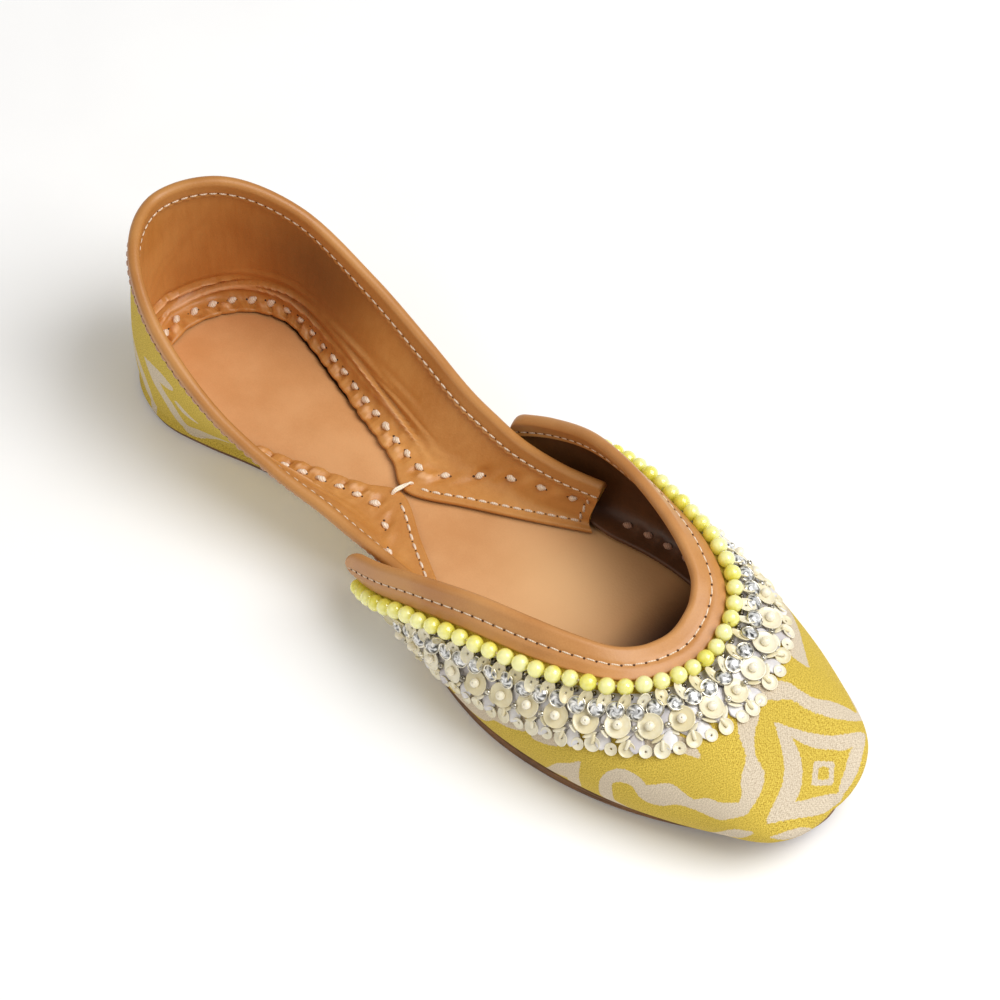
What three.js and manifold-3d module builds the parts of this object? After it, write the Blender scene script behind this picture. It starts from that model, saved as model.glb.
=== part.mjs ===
// A khussa: a flat slip-on shoe with a low leather-lined quarter, a beaded vamp and a thin leather sole.
// Millimetres, +X to the toe, +Y to the shoe's left, +Z up. The origin is on the floor under the middle.
// The shoe is straight and its right side mirrors the left, so tables give the left side, from the heel on.
import * as THREE from "three";
import Module from "manifold-3d";

const wasm = await Module();
wasm.setup();

// Driving dimensions
const LENGTH = 250; // outsole, heel to toe
const SOLE = 3.4; // outsole leather
const INSOLE = 2.4; // padded sock over the outsole, thinner at its edge
const INSOLE_EDGE = 0.4; // share of that thickness left at the edge
const INSOLE_INSET = 3.2; // from the sole's edge to the insole's
const WALL = 1.5; // printed cloth, stiffener and lining together
const GAP = 0.3; // between pieces that touch
const SKIN_GAP = 0.5; // between the wall and what covers it
const FLAP = 1.5; // turned-in lower margin of the upper
const FLAP_LIFT = 3; // underside of the flap above the foot of the wall
const VAMP_FLAP = 6.5; // width of the vamp's turned-in margin
const TOE_SPRING = 7; // lift of the sole's tip
const SPRING_START = 180; // where the sole leaves the floor
const ARCH = 1.2; // lift of the sole under the waist
const ARCH_FROM = 62;
const ARCH_TO = 112;
const BINDING = 0.8; // leather of the topline bindings
const BEAD_PITCH = 4.6; // beads strung along the throat
const BEAD_RADIUS = 2.2;
const TRIM_HEIGHT = 1.3; // sequins and crystals over the cloth
const SCALLOP_PITCH = 8.6; // scallops along the trim's lower edge
const SCALLOP_DEPTH = 1.6;

// How far each covering reaches down the wall from the topline
const QUARTER_BINDING_OUTSIDE = 5;
const QUARTER_BINDING_INSIDE = 6.5;
const VAMP_BINDING_OUTSIDE = 10;
const VAMP_BINDING_INSIDE = 7.5;
const BEADS_DOWN = VAMP_BINDING_OUTSIDE + 2.3;
const TRIM_FROM = BEADS_DOWN + 2.7;
const TRIM_TO = TRIM_FROM + 15.5;
const TRIM_ABOVE_FOOT = 2.5; // cloth left bare over the sole

// Mesh density
const COLUMNS = 22; // sections of a wall on each side of the middle
const WALL_STEPS = 7;
const BINDING_STEPS = 2;
const SOLE_STATIONS = 28;
const SOLE_STRIPS = 6;
const BEAD_SIDES = 6;
const SCALLOP_STEPS = 3;
const TRIM_SHARES = [0, 0.35, 0.7, 1];

const rowsOf = (columns, ...rows) =>
  rows.map((row) => Object.fromEntries(columns.split(" ").map((name, i) => [name, row[i]])));

// Outline of the sole: half its width at each station
const SOLE_ROWS = rowsOf(
  "x half",
  [0, 0],
  [2.5, 10.5],
  [9, 18.5],
  [17, 23],
  [27, 24.9],
  [40, 22.6],
  [55, 18.4],
  [72, 14.7],
  [88, 13.2],
  [100, 15.2],
  [115, 22],
  [132, 29.8],
  [150, 35.8],
  [167, 38.2],
  [185, 37],
  [203, 33],
  [220, 26.6],
  [234, 19.4],
  [243, 13.4],
  [248, 7.8],
  [LENGTH, 0],
);

// Quarter, from the middle of the heel to the end of the wing inside the vamp. Each row joins the foot of
// the wall, set in from the sole's edge and lifted off the sole, to the topline. edge_x and edge_w place the
// flap's inner edge. The wall leaves its foot by out and rise, and comes to the topline by drop, with share
// and swell bending it there.
const QUARTER_ROWS = rowsOf(
  "foot_x inset lift edge_x edge_w top_x top_w top_z out rise share swell drop",
  [0, 0.4, 0, 9.4, 0, 1.4, 0, 59, 1, 16, 0.2, 0.4, 16],
  [7.5, 0.4, 0, 15, 14.6, 11, 17.5, 59.2, 2.5, 16, 0.2, 1, 16],
  [26, 0.4, 0, 28, 21.6, 30, 28.6, 51.8, 3.5, 13, 0.2, 1, 13],
  [48, 0.5, 0, 48, 17.6, 54, 32.2, 39.4, 4, 10, 0.2, 1, 10],
  [69, 0.5, 0, 69, 11.2, 77, 31.2, 31, 5, 8, 0.2, 1, 7],
  [86, 0.5, 0, 86, 5.8, 94, 29.2, 26.4, 6, 7, 0.2, 0, 6],
  [97, 0.8, 0.2, 97, 0.6, 105, 28.5, 24.4, 5, 6, 0.2, 0, 6],
  [110, 2, 1.2, 112, 8.6, 117, 27.9, 23.4, 3, 6, 0.2, 0, 6],
  [124, 4, FLAP_LIFT, 128, 17.2, 131, 28.7, 24.2, 1, 6, 0.2, 0, 6],
  [139, 4, FLAP_LIFT, 143.5, 26, 144, 30.7, 26, 0, 6, 0.2, 0, 6],
);

// Vamp, from the middle of the toe to its end over the quarter, with the same columns
const VAMP_ROWS = rowsOf(
  "foot_x inset top_x top_w top_z out rise share swell drop",
  [250, 0.4, 194, 0, 37, 11, 9, 0.38, -4, 4],
  [248.6, 0, 193.4, 5, 37.6, 17, 9, 0.34, -4, 4.5],
  [243, -0.6, 191.5, 10.5, 38.8, 24, 11, 0.31, -1, 6],
  [230, -0.6, 187, 16, 40.4, 18, 13, 0.28, 7, 9],
  [209, 0, 178, 21, 42.2, 14, 14, 0.26, 8.5, 11.5],
  [184, 0.4, 166, 25.8, 43.2, 10, 14, 0.22, 5, 13],
  [161, 0.4, 152, 29.8, 42.6, 8.5, 12, 0.17, 4.5, 14],
  [142, 0.4, 136, 33.2, 38.5, 8, 9.5, 0.12, 4, 12],
  [128, 0.5, 121, 33.7, 31, 8, 8, 0.1, 4.5, 9],
  [117, 0.6, 107, 31.9, 23, 9, 6, 0.1, 4, 6],
);

// Columns that change sign across the middle of the shoe
const MIRRORED = new Set(["edge_w", "top_w"]);

// A table's columns at a place between its rows, on smooth curves that run level through the middle
function columnsAt(rows, place) {
  const last = rows.length - 1;
  const low = Math.min(Math.floor(place), last - 1);
  const t = place - low;
  const value = (index, name) => {
    if (index < 0) return MIRRORED.has(name) ? -rows[-index][name] : rows[-index][name];
    if (index > last) return 2 * rows[last][name] - rows[2 * last - index][name];
    return rows[index][name];
  };
  const made = {};
  for (const name of Object.keys(rows[0])) {
    const [a, b, c, d] = [-1, 0, 1, 2].map((step) => value(low + step, name));
    const bend = 2 * a - 5 * b + 4 * c - d + t * (3 * (b - c) + d - a);
    made[name] = b + 0.5 * t * (c - a + t * bend);
  }
  return made;
}

// Outline of the sole as one closed curve: the left side from heel to toe is its first half
const outline = new THREE.CatmullRomCurve3(
  [...SOLE_ROWS, ...SOLE_ROWS.slice(1, -1).map(({ x, half }) => ({ x, half: -half })).reverse()].map(
    ({ x, half }) => new THREE.Vector3(x, half, 0),
  ),
  true,
  "centripetal",
);

// The place on the outline's left side that lies x from the heel
function outlinePlace(x) {
  let [low, high] = [0, 0.5];
  for (let i = 0; i < 40; i++) {
    const middle = (low + high) / 2;
    if (outline.getPoint(middle).x < x) low = middle;
    else high = middle;
  }
  return (low + high) / 2;
}
for (const row of [...QUARTER_ROWS, ...VAMP_ROWS]) row.foot_place = outlinePlace(row.foot_x);

// Point of the sole's edge and the level direction out of the sole there
function soleEdge(place) {
  const point = outline.getPoint(place);
  const along = outline.getTangent(place);
  return { point, outward: new THREE.Vector3(-along.y, along.x, 0).normalize() };
}

// Height of the sole's underside above the floor
function ground(x) {
  const spring = TOE_SPRING * Math.max(0, (x - SPRING_START) / (LENGTH - SPRING_START)) ** 2;
  const middle = Math.min(1, Math.max(0, (x - ARCH_FROM) / (ARCH_TO - ARCH_FROM)));
  return spring + ARCH * Math.sin(Math.PI * middle) ** 2;
}
const footHeight = (x) => ground(x) + SOLE + GAP;

// Outer face of a wall. place runs along the rows, below zero on the right side, and up from foot to topline.
function wallPoint(rows, place, up) {
  const row = columnsAt(rows, Math.abs(place));
  const { point, outward } = soleEdge(row.foot_place);
  const foot = point.clone().addScaledVector(outward, -row.inset);
  foot.z = footHeight(foot.x) + (row.lift ?? 0);
  const top = new THREE.Vector3(row.top_x, row.top_w, row.top_z);
  const low = foot.clone().addScaledVector(outward, row.out);
  low.z += row.rise;
  const high = top.clone().addScaledVector(foot.clone().sub(top).setZ(0), row.share);
  high.addScaledVector(outward, row.swell).setZ(top.z - row.drop);
  const made = new THREE.CubicBezierCurve3(foot, low, high, top).getPoint(up);
  if (place < 0) made.y = -made.y;
  return made;
}

// Direction out of the wall
function wallNormal(rows, place, up) {
  const step = 0.01;
  const last = rows.length - 1;
  const [before, after] = [Math.max(-last, place - step), Math.min(last, place + step)];
  const [under, over] = [Math.max(0, up - step), Math.min(1, up + step)];
  const along = wallPoint(rows, after, up).sub(wallPoint(rows, before, up));
  const rise = wallPoint(rows, place, over).sub(wallPoint(rows, place, under));
  return rows === VAMP_ROWS ? along.cross(rise).normalize() : rise.cross(along).normalize();
}

const wallAt = (rows, place, up, offset) =>
  wallPoint(rows, place, up).addScaledVector(wallNormal(rows, place, up), offset);

// Distances walked down the wall from its topline, at even steps of up
function wallWalk(rows, place) {
  const steps = 60;
  const walked = [0];
  let last = wallPoint(rows, place, 1);
  for (let i = 1; i <= steps; i++) {
    const next = wallPoint(rows, place, 1 - i / steps);
    walked.push(walked[i - 1] + next.distanceTo(last));
    last = next;
  }
  return walked;
}

const wallHeight = (rows, place) => wallWalk(rows, place).at(-1);

// The up that lies a distance down the wall from its topline
function upAt(rows, place, distance) {
  const walked = wallWalk(rows, place);
  const after = walked.findIndex((length) => length >= distance);
  if (after < 1) return after === 0 ? 1 : 0;
  const share = (distance - walked[after - 1]) / (walked[after] - walked[after - 1]);
  return 1 - (after - 1 + share) / (walked.length - 1);
}

// A point a distance down the wall, and off its outer face by offset
const downWall = (rows, place, distance, offset) => wallAt(rows, place, upAt(rows, place, distance), offset);

// Places of the sections of a wall from its right end to its left end, closer round the heel or the toe
function placesOf(rows) {
  const count = 2 * COLUMNS + 1;
  const spread = (i) => Math.sign(i) * Math.abs(i / COLUMNS) ** 1.25 * (rows.length - 1);
  return Array.from({ length: count }, (_, i) => spread(i - COLUMNS));
}

// Closed body between an outer and an inner grid of points, each a list of sections
function sheet(outer, inner) {
  const positions = [];
  const known = new Map();
  const index = [];
  const vertex = (p) => {
    const key = p.toArray().map((v) => Math.round(v * 1e4)).join();
    if (!known.has(key)) {
      known.set(key, positions.length / 3);
      positions.push(p.x, p.y, p.z);
    }
    return known.get(key);
  };
  const triangle = (...corners) => {
    const made = corners.map(vertex);
    if (new Set(made).size === 3) index.push(...made);
  };
  const quad = (a, b, c, d) => {
    triangle(a, b, c);
    triangle(a, c, d);
  };
  const [lastSection, lastPoint] = [outer.length - 1, outer[0].length - 1];
  for (let i = 0; i < lastSection; i++) {
    for (let j = 0; j < lastPoint; j++) {
      quad(outer[i][j], outer[i + 1][j], outer[i + 1][j + 1], outer[i][j + 1]);
      quad(inner[i][j], inner[i][j + 1], inner[i + 1][j + 1], inner[i + 1][j]);
    }
    quad(outer[i][0], inner[i][0], inner[i + 1][0], outer[i + 1][0]);
    quad(outer[i][lastPoint], outer[i + 1][lastPoint], inner[i + 1][lastPoint], inner[i][lastPoint]);
  }
  for (let j = 0; j < lastPoint; j++) {
    quad(outer[0][j], outer[0][j + 1], inner[0][j + 1], inner[0][j]);
    quad(outer[lastSection][j], inner[lastSection][j], inner[lastSection][j + 1], outer[lastSection][j + 1]);
  }
  return solidOf(positions, index);
}

function solidOf(positions, index) {
  const vertProperties = new Float32Array(positions);
  const make = (corners) =>
    new wasm.Manifold(new wasm.Mesh({ numProp: 3, vertProperties, triVerts: new Uint32Array(corners) }));
  const made = make(index);
  return made.volume() > 0 ? made : make(index.reverse());
}

function geometryOf(solid) {
  const { vertProperties, triVerts } = solid.getMesh();
  const geometry = new THREE.BufferGeometry();
  geometry.setAttribute("position", new THREE.BufferAttribute(vertProperties, 3));
  geometry.setIndex(new THREE.BufferAttribute(triVerts, 1));
  return geometry;
}

// One wall of the upper: it stands on the sole's edge, and its lower margin turns in over the insole
function upperWall(rows, flapEdge, lift) {
  const shares = Array.from({ length: WALL_STEPS + 1 }, (_, i) => i / WALL_STEPS);
  const [outer, inner] = [[], []];
  for (const place of placesOf(rows)) {
    const foot = wallPoint(rows, place, 0);
    const edge = flapEdge(place, foot);
    const margin = edge.distanceTo(foot.clone().setZ(0));
    const turn = foot.clone().setZ(0).lerp(edge, Math.min(WALL + FLAP_LIFT, margin - 0.4) / margin);
    const flap = (height) => [edge, turn].map((p) => p.clone().setZ(footHeight(p.x) + height));
    const crown = upAt(rows, place, BINDING + SKIN_GAP);
    const inside = footHeight(foot.x) + lift + FLAP + 1.2 - foot.z;
    const first = upAt(rows, place, wallHeight(rows, place) - inside);
    const wall = (from, offset) =>
      shares.map((share) => wallAt(rows, place, from + share * (crown - from), offset));
    outer.push([...flap(lift), ...wall(0, 0)]);
    inner.push([...flap(lift + FLAP), ...wall(first, -WALL)]);
  }
  return sheet(outer, inner);
}

function quarterWall() {
  const flapEdge = (place) => {
    const row = columnsAt(QUARTER_ROWS, Math.abs(place));
    return new THREE.Vector3(row.edge_x, place < 0 ? -row.edge_w : row.edge_w, 0);
  };
  return upperWall(QUARTER_ROWS, flapEdge, FLAP_LIFT);
}

function vampWall() {
  const flapEdge = (place, foot) => {
    const { outward } = soleEdge(columnsAt(VAMP_ROWS, Math.abs(place)).foot_place);
    if (place < 0) outward.y = -outward.y;
    return foot.clone().addScaledVector(outward, -VAMP_FLAP).setZ(0);
  };
  return upperWall(VAMP_ROWS, flapEdge, FLAP_LIFT + 0.15);
}

// A leather binding folded over a wall's topline
function binding(rows, outside, inside) {
  const top = BINDING + SKIN_GAP;
  const [outer, inner] = [[], []];
  for (const place of placesOf(rows)) {
    const at = (distance, offset) => downWall(rows, place, distance, offset);
    const leg = (reach, offset) => {
      const step = (reach - top) / BINDING_STEPS;
      return Array.from({ length: BINDING_STEPS + 1 }, (_, i) => at(top + step * i, offset));
    };
    const skin = SKIN_GAP + BINDING;
    const shoulder = skin * 0.7;
    outer.push([
      ...leg(outside, skin).reverse(),
      at(BINDING * 0.35, shoulder),
      at(0, -WALL / 2),
      at(BINDING * 0.35, -WALL - shoulder),
      ...leg(inside, -WALL - skin),
    ]);
    inner.push([
      ...leg(outside, SKIN_GAP).reverse(),
      at(BINDING, SKIN_GAP),
      at(BINDING, -WALL / 2),
      at(BINDING, -WALL - SKIN_GAP),
      ...leg(inside, -WALL - SKIN_GAP),
    ]);
  }
  return sheet(outer, inner);
}

// A layer inside the sole's outline. The height of its top depends on how near the rim a point is, 0 to 1.
function layer(inset, base, topAt) {
  const [top, bottom] = [[], []];
  for (let i = 0; i <= SOLE_STATIONS; i++) {
    const { point, outward } = soleEdge(i / SOLE_STATIONS / 2);
    const edge = point.addScaledVector(outward, -inset);
    const endwise = Math.abs((2 * i) / SOLE_STATIONS - 1) ** 3;
    const strip = (height) =>
      Array.from({ length: SOLE_STRIPS + 1 }, (_, j) => {
        const across = 1 - (2 * j) / SOLE_STRIPS;
        const rim = Math.max(Math.abs(across), endwise);
        return new THREE.Vector3(edge.x, edge.y * across, ground(edge.x) + height(rim));
      });
    top.push(strip(topAt));
    bottom.push(strip(() => base));
  }
  return sheet(top, bottom);
}

const outsole = () => layer(0, 0, () => SOLE);

function insole() {
  const base = SOLE + GAP;
  const top = (rim) => base + INSOLE * (INSOLE_EDGE + (1 - INSOLE_EDGE) * (1 - rim ** 4));
  return layer(INSOLE_INSET, base, top);
}

// Places at even distances along a line that runs a distance down the vamp
function evenPlaces(distance, count) {
  const steps = 240;
  const last = VAMP_ROWS.length - 1;
  const places = Array.from({ length: steps + 1 }, (_, i) => last * ((2 * i) / steps - 1));
  const line = places.map((place) => downWall(VAMP_ROWS, place, distance, 0));
  const walked = [0];
  for (let i = 1; i <= steps; i++) walked.push(walked[i - 1] + line[i].distanceTo(line[i - 1]));
  const placeAt = (length) => {
    const after = Math.max(1, walked.findIndex((w) => w >= length - 1e-6));
    const share = (length - walked[after - 1]) / (walked[after] - walked[after - 1]);
    return THREE.MathUtils.lerp(places[after - 1], places[after], share);
  };
  const spots = count(walked[steps]);
  return Array.from({ length: spots + 1 }, (_, i) => placeAt((walked[steps] * i) / spots));
}

// Round beads strung along the vamp under its binding, as one string of swellings
function beadStrand() {
  const rings = [0.5, 0.96, 0.96];
  const places = evenPlaces(BEADS_DOWN, (length) => rings.length * Math.round(length / BEAD_PITCH));
  const centres = places.map((place) => downWall(VAMP_ROWS, place, BEADS_DOWN, GAP + BEAD_RADIUS));
  const path = new THREE.CatmullRomCurve3(centres);
  const [outer, inner] = [[], []];
  centres.forEach((centre, i) => {
    const along = path.getTangent(i / (centres.length - 1));
    const up = wallNormal(VAMP_ROWS, places[i], upAt(VAMP_ROWS, places[i], BEADS_DOWN));
    const side = along.clone().cross(up).normalize();
    const radius = BEAD_RADIUS * rings[i % rings.length];
    const ring = Array.from({ length: BEAD_SIDES }, (_, j) => {
      const turn = (2 * Math.PI * j) / BEAD_SIDES;
      const spoke = up.clone().multiplyScalar(Math.cos(turn)).addScaledVector(side, Math.sin(turn));
      return centre.clone().addScaledVector(spoke, radius);
    });
    outer.push(ring.slice(0, BEAD_SIDES / 2 + 1));
    inner.push([ring[0], ...ring.slice(BEAD_SIDES / 2).reverse()]);
  });
  return sheet(outer, inner);
}

// Sequin and crystal trim: a raised band of the vamp's own surface with a scalloped lower edge
function sequinBand() {
  const middle = (TRIM_FROM + TRIM_TO) / 2;
  const places = evenPlaces(middle, (length) => SCALLOP_STEPS * Math.round(length / SCALLOP_PITCH));
  const [outer, inner] = [[], []];
  places.forEach((place, i) => {
    const scallop = Math.abs(Math.sin((Math.PI * i) / SCALLOP_STEPS));
    const lowest = wallHeight(VAMP_ROWS, place) - TRIM_ABOVE_FOOT;
    const reach = Math.min(TRIM_TO, lowest) - SCALLOP_DEPTH * (1 - scallop);
    const across = (offset) =>
      TRIM_SHARES.map((share) => downWall(VAMP_ROWS, place, TRIM_FROM + share * (reach - TRIM_FROM), offset));
    outer.push(across(SKIN_GAP + TRIM_HEIGHT));
    inner.push(across(SKIN_GAP));
  });
  return sheet(outer, inner);
}

const material = (color, roughness) => new THREE.MeshStandardMaterial({ color, roughness, metalness: 0 });

const khussa = new THREE.Group();
function add(name, solid, look) {
  const mesh = new THREE.Mesh(geometryOf(solid), look);
  mesh.name = name;
  mesh.position.x = -LENGTH / 2;
  khussa.add(mesh);
}

const quarterBinding = binding(QUARTER_ROWS, QUARTER_BINDING_OUTSIDE, QUARTER_BINDING_INSIDE);
const vampBinding = binding(VAMP_ROWS, VAMP_BINDING_OUTSIDE, VAMP_BINDING_INSIDE);
add("outsole", outsole(), material(0x7a4a28, 0.6));
add("insole", insole(), material(0xc98a50, 0.5));
add("upper", vampWall().add(quarterWall()), material(0xdcbf3c, 0.85));
add("quarter_binding", quarterBinding, material(0xc08a55, 0.5));
add("vamp_binding", vampBinding, material(0xc08a55, 0.5));
add("bead_strand", beadStrand(), material(0xe4e070, 0.25));
add("sequin_band", sequinBand(), material(0xece4c4, 0.4));

export default khussa;
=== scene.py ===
# Looks of one khussa: printed cloth, tan leather, beads and sequins over the shoe's solids.
# Lengths are millimetres, x from the heel, y to the shoe's left and z up, until a mesh is made in metres.
# The shoe is straight, so tables give its left side, and places below zero are on its right side.
import math

import bpy
import numpy as np
from mathutils import Matrix


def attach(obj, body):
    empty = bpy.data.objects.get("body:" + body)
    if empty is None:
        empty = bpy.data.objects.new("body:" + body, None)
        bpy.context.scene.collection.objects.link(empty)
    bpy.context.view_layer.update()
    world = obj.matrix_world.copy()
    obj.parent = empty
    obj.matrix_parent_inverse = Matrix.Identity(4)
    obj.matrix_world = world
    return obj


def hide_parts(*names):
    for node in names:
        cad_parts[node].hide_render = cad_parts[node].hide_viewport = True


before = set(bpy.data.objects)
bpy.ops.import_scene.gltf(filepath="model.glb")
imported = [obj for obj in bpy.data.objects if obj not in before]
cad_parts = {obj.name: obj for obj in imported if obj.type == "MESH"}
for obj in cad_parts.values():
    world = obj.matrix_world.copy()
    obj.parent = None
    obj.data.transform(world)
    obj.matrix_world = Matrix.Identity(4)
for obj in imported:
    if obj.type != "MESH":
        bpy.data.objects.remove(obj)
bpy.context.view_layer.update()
chance = np.random.default_rng(11)

# Driving sizes of the shoe
LENGTH = 250.0
SOLE = 3.4
INSOLE = 2.4
WALL = 1.5
GAP = 0.3
FLAP = 1.5
FLAP_LIFT = 3.0
VAMP_FLAP = 6.5
TOE_SPRING = 7.0
SPRING_START = 180.0
ARCH = 1.2
ARCH_FROM = 62.0
ARCH_TO = 112.0
BEAD_PITCH = 4.6
BEAD_RADIUS = 2.28
QUARTER_BINDING_OUTSIDE = 5.0
QUARTER_BINDING_INSIDE = 6.2
VAMP_BINDING_OUTSIDE = 10.0
VAMP_BINDING_INSIDE = 7.5
BEADS_DOWN = VAMP_BINDING_OUTSIDE + 1.9

# Layers of the wall
CLOTH = 0.7
WEAVE_PITCH = 0.62
LINING = 0.7
BINDING = 0.95

# Where the layers start under the binding, how far down it and the trim hide them, and how they turn
# at the topline's ends, at the margins and over the sole
WALL_START = 1.4
QUARTER_HIDDEN = 4.0
VAMP_HIDDEN = 26.0
QUARTER_CORNER = 1.0
VAMP_CORNER = 6.0
FILLET = 4.0
FLAP_SETTLED = 0.35
VAMP_FLAP_OVER = 0.15
SKIRT = 1.6

# The insole as it shows: share of its thickness at the edge, and the edge's distance inside the sole's
INSOLE_EDGE = 0.75
INSOLE_INSET = 2.5

# Stitches: pitch, length, radius of the thread and radius of the needle hole
BINDING_STITCH = (3.2, 2.6, 0.21, 0.34)
COLLAR_STITCH = (2.9, 2.3, 0.28, 0.2)
COLLAR_EDGE_STITCH = (2.9, 2.75, 0.55, 0.36)
WING_STITCH = (3.3, 2.35, 0.38, 0.24)

# Rows of stitches, as distances from a topline or from a margin's edge
VAMP_STITCH_DOWN = 5.6
VAMP_STITCH_INSIDE = 5.9
COLLAR_STITCH_INSIDE = 5.1
COLLAR_STITCH_OUTSIDE = 4.1
WING_STITCH_IN = 1.9
MARGIN_KNOTS_IN = 4.6

# How far stitches are sunk in a binding or stand out of a lining, and how far apart the thick ones are
STITCH_SUNK = 0.16
WING_STITCH_OUT = 0.16
KNOT_OUT = 0.4
HEEL_KNOT_PITCH = 5.8
WING_KNOT_PITCH = 8.8
MARGIN_KNOT_PITCH = 6.4

# Places along the quarter and the vamp, counted in rows of their tables
WAIST_PLACE = 6.0
WAIST_CLEAR = 0.3
WING_KNOTS_TO = 8.55
WING_STITCHES_TO = 8.84
MARGIN_KNOTS_TO = 6.6
FLAP_RISES = (3.2, 5.6)
FLAP_NARROWS = (6.6, 7.8)

# Middle of the thread at the waist, and half its reach along and across the shoe
TIE_MIDDLE = (95.8, 0.3)
TIE_REACH = (0.8, 3.5)

# Rows of the trim below the beads: distances down from the topline, and pitches along it
OVALS_DOWN = 16.0
ZARI_DOWN = 14.7
CRYSTALS_DOWN = 18.4
CRYSTAL_PITCH = 5.0
ROUNDELS_DOWN = 22.9
ROUNDEL_PITCH = 8.3
SEEDS_DOWN = 23.6
DROPS_DOWN = 28.9
BACKING_FROM = 13.6
BACKING_TO = 26.6
BACKING_SCALLOP = 1.6
TRIM_ABOVE_FOOT = 2.2

# Pieces of the trim: radii of the round ones, the ovals' width to their length, and lengths of the leaves
OVAL = 2.75
OVAL_SLIMNESS = 0.68
ROUNDEL = 3.45
PEARL = 1.3
DROP = 2.2
SMALL_DROP = 1.75
SEED = 0.92
ZARI_SEED = 0.72
CRESCENT = 4.2
PETAL = 5.6

# Photograph's view: where the camera looks, from which direction, how far off and how long its lens is
VIEW_TARGET = (-1.09, 9.94, 20.0)
VIEW_AZIMUTH = 43.43
VIEW_ELEVATION = 52.68
VIEW_DISTANCE = 938.69
VIEW_LENS = 124.2
VIEW_SENSOR = 36.0

# Lights: direction, distance and size in metres, watts and colour
LIGHTS = {
    "key": ((0.6, 0.32, 1.0), 1.3, 1.0, 16.8, (1.0, 1.0, 1.0)),
    "fill": ((-0.35, -1.0, 0.8), 1.4, 1.2, 3.5, (1.0, 0.9, 0.74)),
}
SKY_STRENGTH = 0.33
FLOOR_HALF = 3.0

# Mesh density: steps of a face, of the sheets' sections and along the sheets, and the distances down
# a wall at which steps along it are measured
EVEN_STEPS = 161
WALL_PLACES = 721
WALL_UPS = 241
HIDDEN_CLOTH = 6
SHOWN_CLOTH = 56
LINING_WALL = 36
LINING_TURN = 11
LINING_FLAP = 15
BINDING_STEP = 0.4
BINDING_PLACE_STEP = 0.6
QUARTER_CLOTH_STEP = 0.8
VAMP_CLOTH_STEP = 0.75
QUARTER_LINING_STEP = 0.66
VAMP_LINING_STEP = 0.85
BACKING_PLACE_STEP = 0.8
WALL_STEPS_DOWN = 20.0
VAMP_CLOTH_STEPS_DOWN = 45.0
BINDING_STEPS_DOWN = 2.0


def table(columns, *rows):
    """Columns of a table by name"""
    return dict(zip(columns.split(), np.array(rows, float).T))


SOLE_ROWS = table(
    "x half",
    (0, 0), (2.5, 10.5), (9, 18.5), (17, 23), (27, 24.9), (40, 22.6), (55, 18.4), (72, 14.7), (88, 13.2),
    (100, 15.2), (115, 22), (132, 29.8), (150, 35.8), (167, 38.2), (185, 37), (203, 33), (220, 26.6),
    (234, 19.4), (243, 13.4), (248, 7.8), (LENGTH, 0),
)

# From the heel to the end of the wing. knot is how far the sewn row lies from the flap's inner edge.
QUARTER_ROWS = table(
    "foot_x inset lift edge_x edge_w top_x top_w top_z out rise share swell drop knot",
    (0, 0.4, 0, 9.4, 0, 1.4, 0, 59, 1, 16, 0.2, 0.4, 16, 3.8),
    (7.5, 0.4, 0, 15, 14.6, 11, 17.5, 59.2, 2.5, 16, 0.2, 1, 16, 3.6),
    (26, 0.4, 0, 28, 21.6, 30, 28.6, 51.8, 3.5, 13, 0.2, 1, 13, 3.4),
    (48, 0.5, 0, 48, 17.6, 54, 32.2, 39.4, 4, 10, 0.2, 1, 10, 3.4),
    (69, 0.5, 0, 69, 11.2, 77, 31.2, 31, 5, 8, 0.2, 1, 7, 3.6),
    (86, 0.5, 0, 86, 5.8, 94, 29.2, 26.4, 6, 7, 0.2, 0, 6, 4.2),
    (97, 0.8, 0.2, 97, 0.6, 105, 28.5, 24.4, 5, 6, 0.2, 0, 6, 8.2),
    (110, 2, 1.2, 112, 8.6, 117, 27.9, 23.4, 3, 6, 0.2, 0, 6, 11.2),
    (124, 4, FLAP_LIFT, 128, 17.2, 131, 28.7, 24.2, 1, 6, 0.2, 0, 6, 10.4),
    (139, 4, FLAP_LIFT, 143.5, 26, 144, 30.7, 26, 0, 6, 0.2, 0, 6, 9.2),
)

# From the middle of the toe to the vamp's end over the quarter
VAMP_ROWS = table(
    "foot_x inset top_x top_w top_z out rise share swell drop",
    (250, 0.4, 194, 0, 37, 11, 9, 0.38, -4, 4),
    (248.6, 0, 193.4, 5, 37.6, 17, 9, 0.34, -4, 4.5),
    (243, -0.6, 191.5, 10.5, 38.8, 24, 11, 0.31, -1, 6),
    (230, -0.6, 187, 16, 40.4, 18, 13, 0.28, 7, 9),
    (209, 0, 178, 21, 42.2, 14, 14, 0.26, 8.5, 11.5),
    (184, 0.4, 166, 25.8, 43.2, 10, 14, 0.22, 5, 13),
    (161, 0.4, 152, 29.8, 42.6, 8.5, 12, 0.17, 4.5, 14),
    (142, 0.4, 136, 33.2, 38.5, 8, 9.5, 0.12, 4, 12),
    (128, 0.5, 121, 33.7, 31, 8, 8, 0.1, 4.5, 9),
    (117, 0.6, 107, 31.9, 23, 9, 6, 0.1, 4, 6),
)
MIRRORED = ("edge_w", "top_w")

# A stone's rings of corners: radius, height, turn in half sides, and two tones its corners have in turn,
# which are painted reflections
CRYSTAL_SIDES = 12
CRYSTAL_RINGS = [
    (2.15, 0.3, 0, 0.9, 0.9),
    (2.1, 0.75, 0, 1.0, 0.2),
    (1.5, 1.35, 1, 0.1, 0.75),
    (0.8, 1.6, 0, 0.95, 0.6),
    (0.02, 1.62, 1, 0.5, 0.5),
    (0.02, 0.2, 0, 0.5, 0.5),
]

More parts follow.
